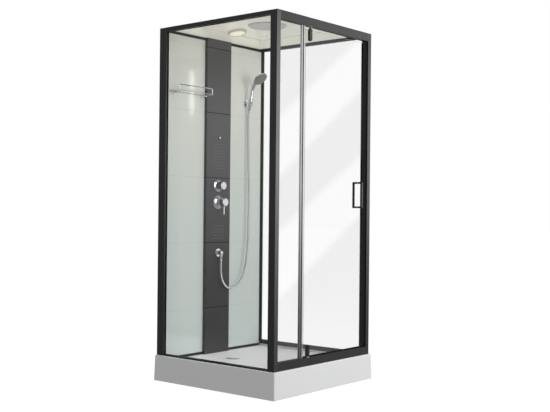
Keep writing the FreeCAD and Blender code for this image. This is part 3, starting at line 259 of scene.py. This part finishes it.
def satinMetal(name, first, second, metal):
    paint = Paint(name)
    cloud = paint.noise(40.0, 4.0)
    return paint.finish(
        Base_Color=paint.mix(cloud, first, second),
        Metallic=metal,
        Roughness=0.34 + cloud * 0.14,
        Normal=paint.relief(paint.noise(600.0, 2.0), 0.04, 0.0003),
    )


def clearPane(name, acrossAxis, edgeAxes, tint, edgeTint, bands):
    paint = Paint(name)
    across = paint.along(acrossAxis)
    height = paint.along("Z")
    edge = paint.fade(paint.facing(edgeAxes[0]) + paint.facing(edgeAxes[1]), 0.4, 0.8)
    glare = None
    for slope, offset, halfWidth, soft, strength in bands:
        away = abs(height - across * slope - offset)
        stripe = (1 - paint.fade(away, halfWidth, halfWidth + soft)) * strength
        glare = stripe if glare is None else glare.maths("MAXIMUM", glare, stripe)
    film = paint.noise(2.5, 4.0)
    if bands:
        # painted reflection: the veil thins inside the glare bands
        veil = 0.003 + film * 0.006 + (1 - glare) * 0.082
    else:
        veil = 0.015 + film * 0.02
    return paint.finish(
        Base_Color=paint.mix(edge, tint, edgeTint),
        Roughness=0.03 + film * 0.04,
        Alpha=veil + edge * 0.55,
        Specular_IOR_Level=0.5,
    )


# level joints that run across the back panels and the column, in metres
levelJoints = {"foot": 0.204, "pitch": 0.402}


def jointLine(paint, thin, thick):
    pitch = levelJoints["pitch"]
    away = abs((paint.along("Z") - levelJoints["foot"]) % pitch - pitch / 2)
    return 1 - paint.fade(away, thin, thick)


def whiteGlass():
    paint = Paint("whiteGlass")
    # painted light: the panels are paler towards the top and greener and darker towards the foot
    paintedLightRise = paint.fade(paint.along("Z"), 0.2, 2.05)
    drift = paint.noise(1.4, 3.0, (3, 1, 0.4))
    seam = jointLine(paint, 0.0006, 0.0016)
    base = paint.mix(paintedLightRise, rgb(0.56, 0.63, 0.60), rgb(0.69, 0.70, 0.635))
    base = paint.mix(drift * 0.5, base, rgb(0.66, 0.70, 0.68))
    base = paint.mix(seam * 0.35, base, rgb(0.30, 0.33, 0.32))
    return paint.finish(
        Base_Color=base,
        Roughness=0.05 + drift * 0.03,
        Coat_Weight=0.6,
        Coat_Roughness=0.05,
    )


def columnTile():
    paint = Paint("columnTile")
    height = paint.along("Z")
    slate = paint.noise(38.0, 6.0)
    speck = paint.noise(420.0, 3.0)
    grout = jointLine(paint, 0.0012, 0.0024)
    # painted shade: darker towards the foot and under the top, and darker on the sides that face along X
    base = paint.mix(paint.fade(height, 0.3, 1.5), rgb(0.024, 0.021, 0.022), rgb(0.145, 0.143, 0.150))
    base = paint.mix(paint.fade(height, 1.55, 2.0), base, rgb(0.090, 0.088, 0.090))
    base = paint.mix(slate * 0.3, base, rgb(0.11, 0.11, 0.115))
    base = paint.mix(paint.facing("X") * 0.7, base, rgb(0.018, 0.018, 0.019))
    base = paint.mix(grout * 0.95, base, rgb(0.003, 0.003, 0.003))
    return paint.finish(
        Base_Color=base,
        Metallic=grout * 0.9,  # keeps the joints from shining
        Roughness=0.30 + slate * 0.18,
        Normal=paint.relief(slate + speck * 0.4, 0.10, 0.0006),
    )


def roofAcrylic():
    paint = Paint("roofAcrylic")
    cloud = paint.noise(3.0, 4.0)
    peel = paint.noise(120.0, 2.0)
    return paint.finish(
        Base_Color=paint.mix(cloud, rgb(0.74, 0.73, 0.63), rgb(0.67, 0.66, 0.58)),
        Roughness=0.24 + cloud * 0.12,
        Coat_Weight=0.3,
        Normal=paint.relief(peel, 0.03),
    )


def lampLens():
    paint = Paint("lampLens")
    frost = paint.noise(90.0, 4.0)
    return paint.finish(
        Base_Color=paint.mix(frost, rgb(0.62, 0.58, 0.48), rgb(0.55, 0.51, 0.41)),
        Roughness=0.35 + frost * 0.2,
        Emission_Color=paint.mix(frost, rgb(1.0, 0.95, 0.84), rgb(1.0, 0.91, 0.76)),
        Emission_Strength=0.29,
    )


def greySilicone(name, first, second):
    paint = Paint(name)
    cloud = paint.noise(60.0, 4.0)
    return paint.finish(
        Base_Color=paint.mix(cloud, first, second),
        Roughness=0.42 + cloud * 0.2,
        Normal=paint.relief(paint.noise(700.0, 2.0), 0.06, 0.0004),
    )


def frontSeal():
    paint = Paint("frontSeal")
    cloud = paint.noise(30.0, 3.0)
    jamb = paint.along("X") > 0.0  # clear fin on the left, black magnet jamb on the right
    clear = paint.mix(cloud, rgb(0.52, 0.54, 0.55), rgb(0.62, 0.64, 0.65))
    return paint.finish(
        Base_Color=paint.mix(jamb, clear, rgb(0.015, 0.015, 0.016)),
        Roughness=0.22 + cloud * 0.15 + jamb * 0.25,
        Alpha=0.015 + cloud * 0.025 + jamb * 0.95,
    )


def glazingGasket():
    paint = Paint("glazingGasket")
    cloud = paint.noise(160.0, 4.0)
    beside = abs(paint.along("X") - profileLook["middle"])
    grey = 1 - paint.fade(beside, 0.010, 0.012)  # the lip in the silver profile, painted as pale as the profile
    # painted reflection: the lip is paler towards the top and darker towards the foot
    paintedLightRise = paint.fade(paint.along("Z"), *profileLook["paling"])
    black = paint.mix(cloud, rgb(0.005, 0.005, 0.005), rgb(0.011, 0.011, 0.011))
    pale = paint.mix(paintedLightRise, rgb(0.20, 0.20, 0.205), rgb(0.92, 0.93, 0.94))
    return paint.finish(
        Base_Color=paint.mix(grey, black, pale),
        Roughness=0.55 + cloud * 0.2,
        Specular_IOR_Level=0.2,
        Normal=paint.relief(cloud, 0.10, 0.0005),
    )


def blackRubber():
    paint = Paint("blackRubber")
    cloud = paint.noise(160.0, 4.0)
    return paint.finish(
        Base_Color=paint.mix(cloud, rgb(0.005, 0.005, 0.005), rgb(0.011, 0.011, 0.011)),
        Roughness=0.55 + cloud * 0.2,
        Specular_IOR_Level=0.2,
        Normal=paint.relief(cloud, 0.10, 0.0005),
    )


def handleBlack():
    paint = Paint("handleBlack")
    cloud = paint.noise(60.0, 4.0)
    return paint.finish(
        Base_Color=paint.mix(cloud, rgb(0.004, 0.004, 0.0045), rgb(0.009, 0.009, 0.0095)),
        Roughness=0.32 + cloud * 0.14,
        Specular_IOR_Level=0.35,
        Normal=paint.relief(paint.noise(900.0, 2.0), 0.04, 0.0004),
    )


def blackPlastic():
    paint = Paint("blackPlastic")
    cloud = paint.noise(220.0, 3.0)
    return paint.finish(
        Base_Color=paint.mix(cloud, rgb(0.018, 0.018, 0.019), rgb(0.030, 0.030, 0.031)),
        Roughness=0.40 + cloud * 0.18,
        Normal=paint.relief(cloud, 0.08, 0.0005),
    )


def paleAcetal():
    paint = Paint("paleAcetal")
    cloud = paint.noise(80.0, 3.0)
    return paint.finish(
        Base_Color=paint.mix(cloud, rgb(0.78, 0.78, 0.75), rgb(0.70, 0.70, 0.67)),
        Roughness=0.38 + cloud * 0.12,
    )


def greyPvc():
    paint = Paint("greyPvc")
    cloud = paint.noise(25.0, 4.0)
    return paint.finish(
        Base_Color=paint.mix(cloud, rgb(0.26, 0.27, 0.28), rgb(0.33, 0.34, 0.35)),
        Roughness=0.40 + cloud * 0.18,
        Normal=paint.relief(paint.noise(300.0, 2.0), 0.05, 0.0005),
    )


def zincSteel():
    paint = Paint("zincSteel")
    flake = paint.node(
        "ShaderNodeTexVoronoi", sockets={"Vector": paint.place, "Scale": 70.0}, outlet="Distance",
    )
    cloud = paint.noise(8.0, 4.0)
    return paint.finish(
        Base_Color=paint.mix(flake, rgb(0.50, 0.51, 0.52), rgb(0.62, 0.63, 0.64)),
        Metallic=0.9,
        Roughness=0.32 + cloud * 0.22,
    )


def castBrass():
    paint = Paint("castBrass")
    cloud = paint.noise(30.0, 5.0)
    plated = 1 - paint.fade(paint.along("Y"), 0.3875, 0.3885)  # chrome in front of the column
    brass = paint.mix(cloud, rgb(0.62, 0.47, 0.22), rgb(0.48, 0.34, 0.15))
    return paint.finish(
        Base_Color=paint.mix(plated, brass, rgb(0.72, 0.73, 0.75)),
        Metallic=1.0,
        Roughness=0.26 + cloud * 0.28 - plated * 0.18,
        Normal=paint.relief(paint.noise(500.0, 3.0), 0.12, 0.0005),
    )


def drawnCopper():
    paint = Paint("drawnCopper")
    cloud = paint.noise(14.0, 5.0, (1, 1, 0.3))
    return paint.finish(
        Base_Color=paint.mix(cloud, rgb(0.62, 0.30, 0.18), rgb(0.42, 0.20, 0.13)),
        Metallic=1.0,
        Roughness=0.22 + cloud * 0.30,
    )


# diagonal bands of painted reflection, where the front panes are made clearer: slope, height at x = 0, half
# width, soft edge, strength
frontGlare = [
    (0.713, 1.635, 0.115, 0.09, 1.0),
    (0.585, 0.949, 0.135, 0.09, 1.0),
]
frontTint = rgb(0.42, 0.42, 0.45)
sideTint = rgb(0.50, 0.54, 0.53)
sideEdge = rgb(0.24, 0.33, 0.31)
frontEdge = rgb(0.84, 0.88, 0.87)
shelfEdge = rgb(0.56, 0.62, 0.60)

finishes = {
    "trayAcrylic": trayAcrylic(),
    "blackFrame": blackFrame(),
    "silverProfile": silverProfile(),
    "chromePlate": chromePlate(),
    "hoseSteel": hoseSteel(),
    "frontPane": clearPane("frontPane", "X", "XZ", frontTint, frontEdge, frontGlare),
    "sidePane": clearPane("sidePane", "Y", "YZ", sideTint, sideEdge, []),
    "shelfPane": clearPane("shelfPane", "X", "XY", sideTint, shelfEdge, []),
    "whiteGlass": whiteGlass(),
    "columnTile": columnTile(),
    "roofAcrylic": roofAcrylic(),
    "lampLens": lampLens(),
    "greySilicone": greySilicone("greySilicone", rgb(0.30, 0.30, 0.31), rgb(0.36, 0.36, 0.37)),
    "rainSilicone": greySilicone("rainSilicone", rgb(0.42, 0.42, 0.41), rgb(0.48, 0.48, 0.47)),
    "jetSilicone": greySilicone("jetSilicone", rgb(0.30, 0.30, 0.31), rgb(0.36, 0.36, 0.37)),
    "bezelSatin": satinMetal("bezelSatin", rgb(0.60, 0.56, 0.47), rgb(0.52, 0.48, 0.40), 0.2),
    "rainSatin": satinMetal("rainSatin", rgb(0.58, 0.58, 0.59), rgb(0.50, 0.50, 0.51), 0.3),
    "drainSatin": satinMetal("drainSatin", rgb(0.84, 0.84, 0.85), rgb(0.76, 0.76, 0.77), 0.25),
    "frontSeal": frontSeal(),
    "glazingGasket": glazingGasket(),
    "blackRubber": blackRubber(),
    "handleBlack": handleBlack(),
    "blackPlastic": blackPlastic(),
    "paleAcetal": paleAcetal(),
    "greyPvc": greyPvc(),
    "zincSteel": zincSteel(),
    "castBrass": castBrass(),
    "drawnCopper": drawnCopper(),
}

dressing = {
    "trayAcrylic": ["shower_tray"],
    "blackFrame": [
        "front_left_post", "front_right_post", "rear_left_post", "rear_right_post", "side_top_rails",
        "front_top_rail", "back_rails", "side_sills", "front_threshold", "wall_channels", "pivot_pins",
    ],
    "handleBlack": ["door_handle_outer", "door_handle_inner", "pivot_clamps"],
    "silverProfile": ["fixed_pane_profile"],
    "chromePlate": [
        "column_peg", "control_rosettes", "diverter_knob", "mixer_handle", "mixer_ball_stem", "hose_outlet",
        "shower_hose", "hand_bracket", "hand_shower_body", "hand_nut", "gallery_rail", "shelf_brackets",
        "rain_head_stem",
    ],
    "drainSatin": ["drain_flange", "drain_cover"],
    "bezelSatin": ["light_bezel"],
    "rainSatin": ["rain_head_body"],
    "frontPane": ["fixed_front_glass", "door_glass"],
    "sidePane": ["left_glass", "right_glass"],
    "shelfPane": ["shelf_glass"],
    "whiteGlass": ["back_panel_left", "back_panel_right"],
    "columnTile": ["column_cover"],
    "roofAcrylic": ["roof_panel"],
    "lampLens": ["light_lens"],
    "greySilicone": ["spray_face"],
    "rainSilicone": ["rain_head_face"],
    "jetSilicone": ["body_jets"],
    "frontSeal": ["front_seals"],
    "glazingGasket": ["glazing_gaskets"],
    "blackRubber": ["door_seals"],
    "blackPlastic": ["levelling_feet", "post_caps", "lamp_can", "jet_manifolds"],
    "paleAcetal": ["pivot_bushes"],
    "greyPvc": ["drain_trap"],
    "zincSteel": ["tray_beams"],
    "castBrass": ["diverter_block", "mixer_body"],
    "drawnCopper": ["water_pipes"],
}

for finishName, nodeNames in dressing.items():
    for nodeName in nodeNames:
        skin = cabinNodes[nodeName].data.materials
        skin.clear()
        skin.append(finishes[finishName])
print("finishes on", sum(len(names) for names in dressing.values()), "nodes")


# Turned fittings: a profile of (radius, height) pairs in millimetres, spun round Z

lathe = {"unit": 0.001, "weldGap": 0.00001, "smoothBelow": 40}


def turnProfile(name, profile, steps):
    bpy.ops.object.select_all(action="DESELECT")
    bpy.ops.mesh.primitive_plane_add(size=0.01)
    piece = bpy.context.object
    piece.name = name
    bpy.ops.object.mode_set(mode="EDIT")
    bpy.ops.mesh.select_all(action="SELECT")
    bpy.ops.mesh.merge(type="CENTER")
    last = Vector((0, 0, 0))
    for index, (radius, height) in enumerate(profile):
        corner = Vector((radius, 0, height)) * lathe["unit"]
        if index == 0:
            bpy.ops.transform.translate(value=corner - last)
        else:
            bpy.ops.mesh.extrude_vertices_move(TRANSFORM_OT_translate={"value": corner - last})
        last = corner
    bpy.ops.mesh.select_all(action="SELECT")
    bpy.ops.mesh.spin(steps=steps, angle=2 * math.pi, center=(0, 0, 0), axis=(0, 0, 1))
    bpy.ops.mesh.select_all(action="SELECT")
    bpy.ops.mesh.remove_doubles(threshold=lathe["weldGap"])
    bpy.ops.mesh.normals_make_consistent(inside=False)
    bpy.ops.object.mode_set(mode="OBJECT")
    bpy.ops.object.shade_smooth_by_angle(angle=math.radians(lathe["smoothBelow"]))
    return piece


# one copy with its own mesh at each (place, direction), joined into one piece
def setCopies(pattern, seats):
    name = pattern.name
    copies = []
    for place, direction in seats:
        copy = pattern.copy()
        copy.data = pattern.data.copy()
        scene.collection.objects.link(copy)
        turn = Vector(direction).to_track_quat("Z", "Y").to_matrix().to_4x4()
        copy.matrix_world = Matrix.Translation(place) @ turn
        copies.append(copy)
    bpy.data.objects.remove(pattern)
    bpy.ops.object.select_all(action="DESELECT")
    for copy in copies:
        copy.select_set(True)
    bpy.context.view_layer.objects.active = copies[0]
    if len(copies) > 1:
        bpy.ops.object.join()
    bpy.ops.object.transform_apply(location=True, rotation=True, scale=True)
    piece = bpy.context.object
    piece.name = name
    return piece


def fitOn(piece, finishName, body):
    piece.data.materials.clear()
    piece.data.materials.append(finishes[finishName])
    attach(piece, body)


# places on rings round a centre, in the plane across a direction
def ringSeats(rings, centre, direction):
    across = Vector((1, 0, 0))
    upward = Vector(direction).cross(across).normalized()
    seats = []
    for radius, count in rings:
        for step in range(count):
            angle = 2 * math.pi * step / count
            offset = (across * math.cos(angle) + upward * math.sin(angle)) * radius * lathe["unit"]
            seats.append((Vector(centre) + offset, direction))
    return seats


# soft nozzles of the rain head and of the hand shower
rainNozzles = {
    "profile": [(0, -0.3), (2.7, -0.3), (2.3, 1.3), (1.6, 2.0), (0.8, 2.0), (0.6, 1.2), (0, 1.2)],
    "steps": 8,
    "rings": [(0, 1), (16, 6), (32, 12), (48, 18), (64, 24), (80, 30), (96, 36)],
    "centre": (0.0, 0.0, 2.106),
    "direction": (0.0, 0.0, -1.0),
    "body": "cabin",
}
handNozzles = {
    "profile": [(0, -0.3), (1.9, -0.3), (1.6, 0.9), (1.1, 1.4), (0.6, 1.4), (0.5, 0.8), (0, 0.8)],
    "steps": 8,
    "rings": [(0, 1), (10, 6), (20, 12), (30, 18), (38, 24)],
    "centre": (0.277, 0.2861, 1.84566),
    "direction": (0.0, -0.665, -0.747),
    "body": "hand_shower",
}


def setNozzles():
    for name, look in (("rainNozzles", rainNozzles), ("handNozzles", handNozzles)):
        pattern = turnProfile(name, look["profile"], look["steps"])
        nozzles = setCopies(pattern, ringSeats(look["rings"], look["centre"], look["direction"]))
        fitOn(nozzles, "greySilicone", look["body"])


# button screws with a socket, on both faces of the pivot clamps
clampScrews = {
    "profile": [(0, -0.3), (4.4, -0.3), (4.4, 0.5), (3.6, 1.5), (2.0, 1.8), (1.8, 0.7), (0, 0.7)],
    "steps": 18,
    "across": -0.139,
    "heights": [0.247, 1.970],
    "faces": {-0.439: -1.0, -0.423: 1.0},
}


def setClampScrews():
    seats = []
    for height in clampScrews["heights"]:
        for face, outward in clampScrews["faces"].items():
            seats.append(((clampScrews["across"], face, height), (0.0, outward, 0.0)))
    screws = setCopies(turnProfile("clampScrews", clampScrews["profile"], clampScrews["steps"]), seats)
    fitOn(screws, "blackFrame", "door")


# thin domed disc on the front of the diverter knob
knobDisc = {
    "profile": [(0, -0.3), (16.5, -0.3), (17.0, 0.2), (16.4, 0.8), (8.0, 1.3), (0, 1.5)],
    "steps": 40,
    "seat": ((0.0, 0.340, 1.160), (0.0, -1.0, 0.0)),
}


def setKnobDisc():
    disc = setCopies(turnProfile("knobDisc", knobDisc["profile"], knobDisc["steps"]), [knobDisc["seat"]])
    fitOn(disc, "chromePlate", "diverter")


# flanges on the shelf and nuts under it, where the gallery rail stands
galleryFeet = {
    "flange": [(0, 0), (7.0, 0), (7.0, 1.0), (5.6, 2.2), (4.0, 2.6), (0, 2.6)],
    "flangeSteps": 28,
    "nut": [
        (0, 0), (6.0, 0), (6.6, 0.6), (6.6, 3.0), (5.9, 3.6), (3.0, 3.6), (3.0, 5.0), (2.4, 5.6), (0, 5.6),
    ],
    "nutSteps": 6,  # so that the nut is hexagonal
    "posts": [(-0.400, 0.3357), (-0.117, 0.3357)],
    "shelfTop": 1.715,
    "shelfFoot": 1.709,
}


def setGalleryFeet():
    tops = [((*post, galleryFeet["shelfTop"]), (0.0, 0.0, 1.0)) for post in galleryFeet["posts"]]
    feet = [((*post, galleryFeet["shelfFoot"]), (0.0, 0.0, -1.0)) for post in galleryFeet["posts"]]
    for name, part, seats in (("galleryFlanges", "flange", tops), ("galleryNuts", "nut", feet)):
        pattern = turnProfile(name, galleryFeet[part], galleryFeet[part + "Steps"])
        fitOn(setCopies(pattern, seats), "chromePlate", "cabin")


# crimped collars at both ends of the hose
hoseCollars = {
    "profile": [
        (0, 0), (7.6, 0), (8.3, 0.8), (8.3, 3.6), (7.8, 4.2),
        (8.3, 4.8), (8.3, 14.4), (7.7, 15.4), (0, 15.4),
    ],
    "steps": 28,
    "seats": {
        "cabin": ("outletCollar", (0.0, 0.360, 0.704), (0.0, 0.0, -1.0)),
        "hand_shower": ("handCollar", (0.277, 0.38391, 1.65431), (0.0, 0.208, -0.978)),
    },
}


def setHoseCollars():
    collars = []
    for body, (name, place, direction) in hoseCollars["seats"].items():
        pattern = turnProfile(name, hoseCollars["profile"], hoseCollars["steps"])
        collars.append(setCopies(pattern, [(place, direction)]))
        fitOn(collars[-1], "chromePlate", body)
    return collars


# stand-off clips that hold the rain pipe to the back of the column
pipeClips = {
    "stand": [
        (0, -0.3), (9.0, -0.3), (9.0, 1.6), (8.2, 2.4), (4.6, 3.0), (4.0, 4.4), (4.0, 22.4), (0, 22.4),
    ],
    "ring": [(5.9, -6.0), (9.0, -6.0), (9.6, -5.4), (9.6, 5.4), (9.0, 6.0), (5.9, 6.0), (5.9, -6.0)],
    "steps": 24,
    "heights": [1.56, 1.78, 2.00],
    "plate": 0.391,
    "pipe": 0.4215,
}


def setPipeClips():
    stands = [((0.0, pipeClips["plate"], height), (0.0, 1.0, 0.0)) for height in pipeClips["heights"]]
    rings = [((0.0, pipeClips["pipe"], height), (0.0, 0.0, 1.0)) for height in pipeClips["heights"]]
    for name, part, seats in (("clipStands", "stand", stands), ("clipRings", "ring", rings)):
        pattern = turnProfile(name, pipeClips[part], pipeClips["steps"])
        fitOn(setCopies(pattern, seats), "blackPlastic", "cabin")


setNozzles()
setClampScrews()
setKnobDisc()
setGalleryFeet()
setPipeClips()
print("turned fittings set")

# the spiral-wound hose, from its outlet up to the hand shower, in metres
hoseLook = {
    "route": [
        (0.0, 0.360, 0.704), (0.0, 0.360, 0.672), (0.001, 0.361, 0.628), (0.011, 0.362, 0.578),
        (0.036, 0.363, 0.540), (0.076, 0.365, 0.518), (0.121, 0.367, 0.516), (0.162, 0.369, 0.533),
        (0.204, 0.371, 0.567), (0.238, 0.373, 0.628), (0.261, 0.375, 0.722), (0.273, 0.377, 0.835),
        (0.278, 0.379, 0.975), (0.280, 0.381, 1.130), (0.279, 0.384, 1.280), (0.277, 0.387, 1.420),
        (0.276, 0.3895, 1.525), (0.2765, 0.3907, 1.585), (0.277, 0.39015, 1.62496),
        (0.277, 0.38391, 1.65431),
    ],
    "radius": 0.007,
    "length": 1.458,
    "ribDepth": 0.0008,
    "ribPitch": 0.0040,
    "ringsPerSpan": 128,
    "sides": 14,
    "bendFrom": (0.277, 0.384, 0.73),
    "bendTo": (0.277, 0.384, 1.63),
}


def hoseLine():
    curve = bpy.data.curves.new("hoseLine", "CURVE")
    curve.dimensions = "3D"
    curve.resolution_u = hoseLook["ringsPerSpan"]
    spline = curve.splines.new("NURBS")
    spline.points.add(len(hoseLook["route"]) - 1)
    for point, place in zip(spline.points, hoseLook["route"]):
        point.co = (*place, 1.0)
    spline.order_u = 3
    spline.use_endpoint_u = True
    guide = bpy.data.objects.new("hoseLine", curve)
    scene.collection.objects.link(guide)
    bpy.context.view_layer.update()
    mesh = bpy.data.meshes.new_from_object(guide.evaluated_get(bpy.context.evaluated_depsgraph_get()))
    line = [vertex.co.copy() for vertex in mesh.vertices]
    bpy.data.meshes.remove(mesh)
    bpy.data.objects.remove(guide)
    return line


def buildHose():
    places = hoseLine()
    run = 0.0
    sides = hoseLook["sides"]
    side = Vector((1, 0, 0))
    vertices = []
    faces = []
    for index, place in enumerate(places):
        before = places[max(index - 1, 0)]
        run += (place - before).length
        ahead = (places[min(index + 1, len(places) - 1)] - before).normalized()
        side = (side - ahead * side.dot(ahead)).normalized()
        other = ahead.cross(side)
        for corner in range(sides):
            angle = 2 * math.pi * corner / sides
            wave = 0.5 - 0.5 * math.cos(2 * math.pi * run / hoseLook["ribPitch"] - angle)
            radius = hoseLook["radius"] - hoseLook["ribDepth"] * wave
            vertices.append(place + (side * math.cos(angle) + other * math.sin(angle)) * radius)
    for ring in range(len(places) - 1):
        for corner in range(sides):
            here = ring * sides + corner
            beside = ring * sides + (corner + 1) % sides
            faces.append((here, beside, beside + sides, here + sides))
    faces.append(tuple(reversed(range(sides))))
    faces.append(tuple(range((len(places) - 1) * sides, len(places) * sides)))
    mesh = bpy.data.meshes.new("woundHose")
    mesh.from_pydata(vertices, [], faces)
    mesh.update()
    for face in mesh.polygons:
        face.use_smooth = True
    mesh.materials.append(finishes["hoseSteel"])
    hose = bpy.data.objects.new("woundHose", mesh)
    scene.collection.objects.link(hose)
    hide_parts("shower_hose")
    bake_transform(hose)
    setHoseCollars()


buildHose()
print("hose wound")

# one softbox on the right makes the sheen on posts, rails and tray, each at its own power
sheenBox = {"place": (5.0, -4.6, 2.0), "aim": (0.0, -0.45, 1.1), "size": (4.2, 2.6)}

# white surround and lights, in metres and watts
studio = {
    "backdrop": 1.0,
    "ambient": 0.38,
    "lights": {
        "keyFront": {"place": (0.4, -5.0, 2.0), "aim": (0.0, -0.2, 1.1), "size": (3.0, 3.0), "power": 105.0},
        "fillLeft": {"place": (-5.2, 1.2, 2.2), "aim": (0.0, 0.0, 1.0), "size": (2.4, 2.4), "power": 16.0},
        "overhead": {"place": (0.0, -0.4, 4.6), "aim": (0.0, 0.0, 0.0), "size": (3.0, 3.0), "power": 40.0},
        "postSheen": {**sheenBox, "power": 250.0},
        "railSheen": {**sheenBox, "power": 130.0},
        "traySheen": {**sheenBox, "power": 190.0},
        "chromeSheen": {
            "place": (5.0, -4.0, 1.6), "aim": (0.0, 0.35, 1.2), "size": (2.4, 3.0), "power": 13.0,
        },
        "upLight": {"place": (0.0, -0.1, 0.35), "aim": (0.0, -0.05, 2.1), "size": (0.6, 0.6), "power": 22.0},
        "downLight": {"place": (0.0, 0.0, 1.90), "aim": (0.0, 0.0, 0.0), "size": (0.6, 0.6), "power": 9.5},
        "wallWash": {"place": (0.3, -2.6, 2.1), "aim": (0.0, 0.4, 1.4), "size": (3.2, 2.8), "power": 43.0},
        "backFill": {"place": (0.0, 4.8, 2.4), "aim": (0.0, 0.4, 1.1), "size": (2.8, 2.8), "power": 60.0},
        "streak": {
            "place": (2.65, -2.45, 2.23), "aim": (-0.22, 0.41, 1.75), "size": (0.045, 0.50), "power": 0.34,
        },
    },
    # a light with a list falls on those pieces alone, and a fill is never mirrored
    "fallsOn": {
        "postSheen": ["front_left_post"],
        "railSheen": [
            "front_right_post", "rear_left_post", "rear_right_post", "side_top_rails", "front_top_rail",
            "front_threshold", "pivot_clamps", "door_handle_outer",
        ],
        "traySheen": ["shower_tray"],
        "chromeSheen": [
            "control_rosettes", "diverter_knob", "knobDisc", "mixer_handle", "hose_outlet", "column_peg",
            "hand_bracket", "hand_shower_body", "gallery_rail", "shelf_brackets", "woundHose",
        ],
        "upLight": [
            "roof_panel", "rain_head_body", "rain_head_face", "rainNozzles", "light_bezel", "light_lens",
        ],
        "downLight": ["shower_tray", "drain_flange", "drain_cover"],
        "wallWash": ["back_panel_left", "back_panel_right"],
        "backFill": [
            "back_panel_left", "back_panel_right", "column_cover", "back_rails", "wall_channels",
            "rear_left_post", "rear_right_post", "water_pipes", "diverter_block", "mixer_body",
            "jet_manifolds", "clipStands", "clipRings", "shower_tray", "tray_beams",
        ],
        "streak": ["back_panel_left"],
    },
    # a light with pieces to spare falls on all but those: from behind, the roof would mirror it
    "spares": {
        "keyFront": [
            "roof_panel", "front_top_rail", "side_top_rails", "back_rails", "post_caps", "water_pipes",
            "rain_head_stem", "lamp_can",
        ],
    },
    "fills": ["upLight", "downLight", "wallWash", "backFill"],
    "shadowless": ["upLight", "wallWash"],
    "tapered": ["streak"],
}


def setWorld():
    paint = Paint("studioWorld", "worlds")
    seen = paint.node("ShaderNodeLightPath", outlet="Is Camera Ray")
    strength = seen * (studio["backdrop"] - studio["ambient"]) + studio["ambient"]
    sky = paint.node("ShaderNodeBackground", sockets={"Color": rgb(1, 1, 1), "Strength": strength})
    paint.node("ShaderNodeOutputWorld", sockets={"Surface": sky})
    scene.world = paint.holder


def hangLights():
    for name, lamp in studio["lights"].items():
        data = bpy.data.lights.new(name, "AREA")
        data.shape = "ELLIPSE" if name in studio["tapered"] else "RECTANGLE"
        data.size, data.size_y = lamp["size"]
        data.energy = lamp["power"]
        data.use_shadow = name not in studio["shadowless"]
        light = bpy.data.objects.new(name, data)
        scene.collection.objects.link(light)
        light.location = lamp["place"]
        toward = Vector(lamp["aim"]) - Vector(lamp["place"])
        light.rotation_euler = toward.to_track_quat("-Z", "Y").to_euler()
        light.visible_camera = False
        light.visible_glossy = name not in studio["fills"]
        spared = studio["spares"].get(name, [])
        listed = studio["fallsOn"].get(name, spared)
        if listed:
            takers = bpy.data.collections.new(name + "Takers")
            for pieceName in listed:
                takers.objects.link(bpy.data.objects[pieceName])
            for entry in takers.collection_objects:
                entry.light_linking.link_state = "EXCLUDE" if spared else "INCLUDE"
            light.light_linking.receiver_collection = takers


# the pale floor under the feet, bright enough to run into the white surround
floorLook = {"reach": 80.0, "level": -0.0005, "glow": 0.9, "pale": 0.30, "dim": 0.28}


def layFloor():
    bpy.ops.object.select_all(action="DESELECT")
    bpy.ops.mesh.primitive_plane_add(size=floorLook["reach"], location=(0, 0, floorLook["level"]))
    floor = bpy.context.object
    floor.name = "paleFloor"
    bpy.ops.object.transform_apply(location=True, rotation=True, scale=True)
    paint = Paint("paleFloor")
    cloud = paint.noise(0.8, 3.0)
    pale = floorLook["pale"]
    dim = floorLook["dim"]
    floor.data.materials.append(paint.finish(
        Base_Color=paint.mix(cloud, rgb(pale, pale, pale), rgb(dim, dim, dim)),
        Roughness=0.7 + cloud * 0.2,
        Specular_IOR_Level=0.0,
        Emission_Color=rgb(1, 1, 1),
        Emission_Strength=floorLook["glow"],
    ))
    floor.visible_diffuse = False  # only seen, so that the cabin keeps its own light
    floor.visible_glossy = False
    floor.visible_transmission = False
    floor.visible_shadow = False


setWorld()
hangLights()
layFloor()
print("studio lit")
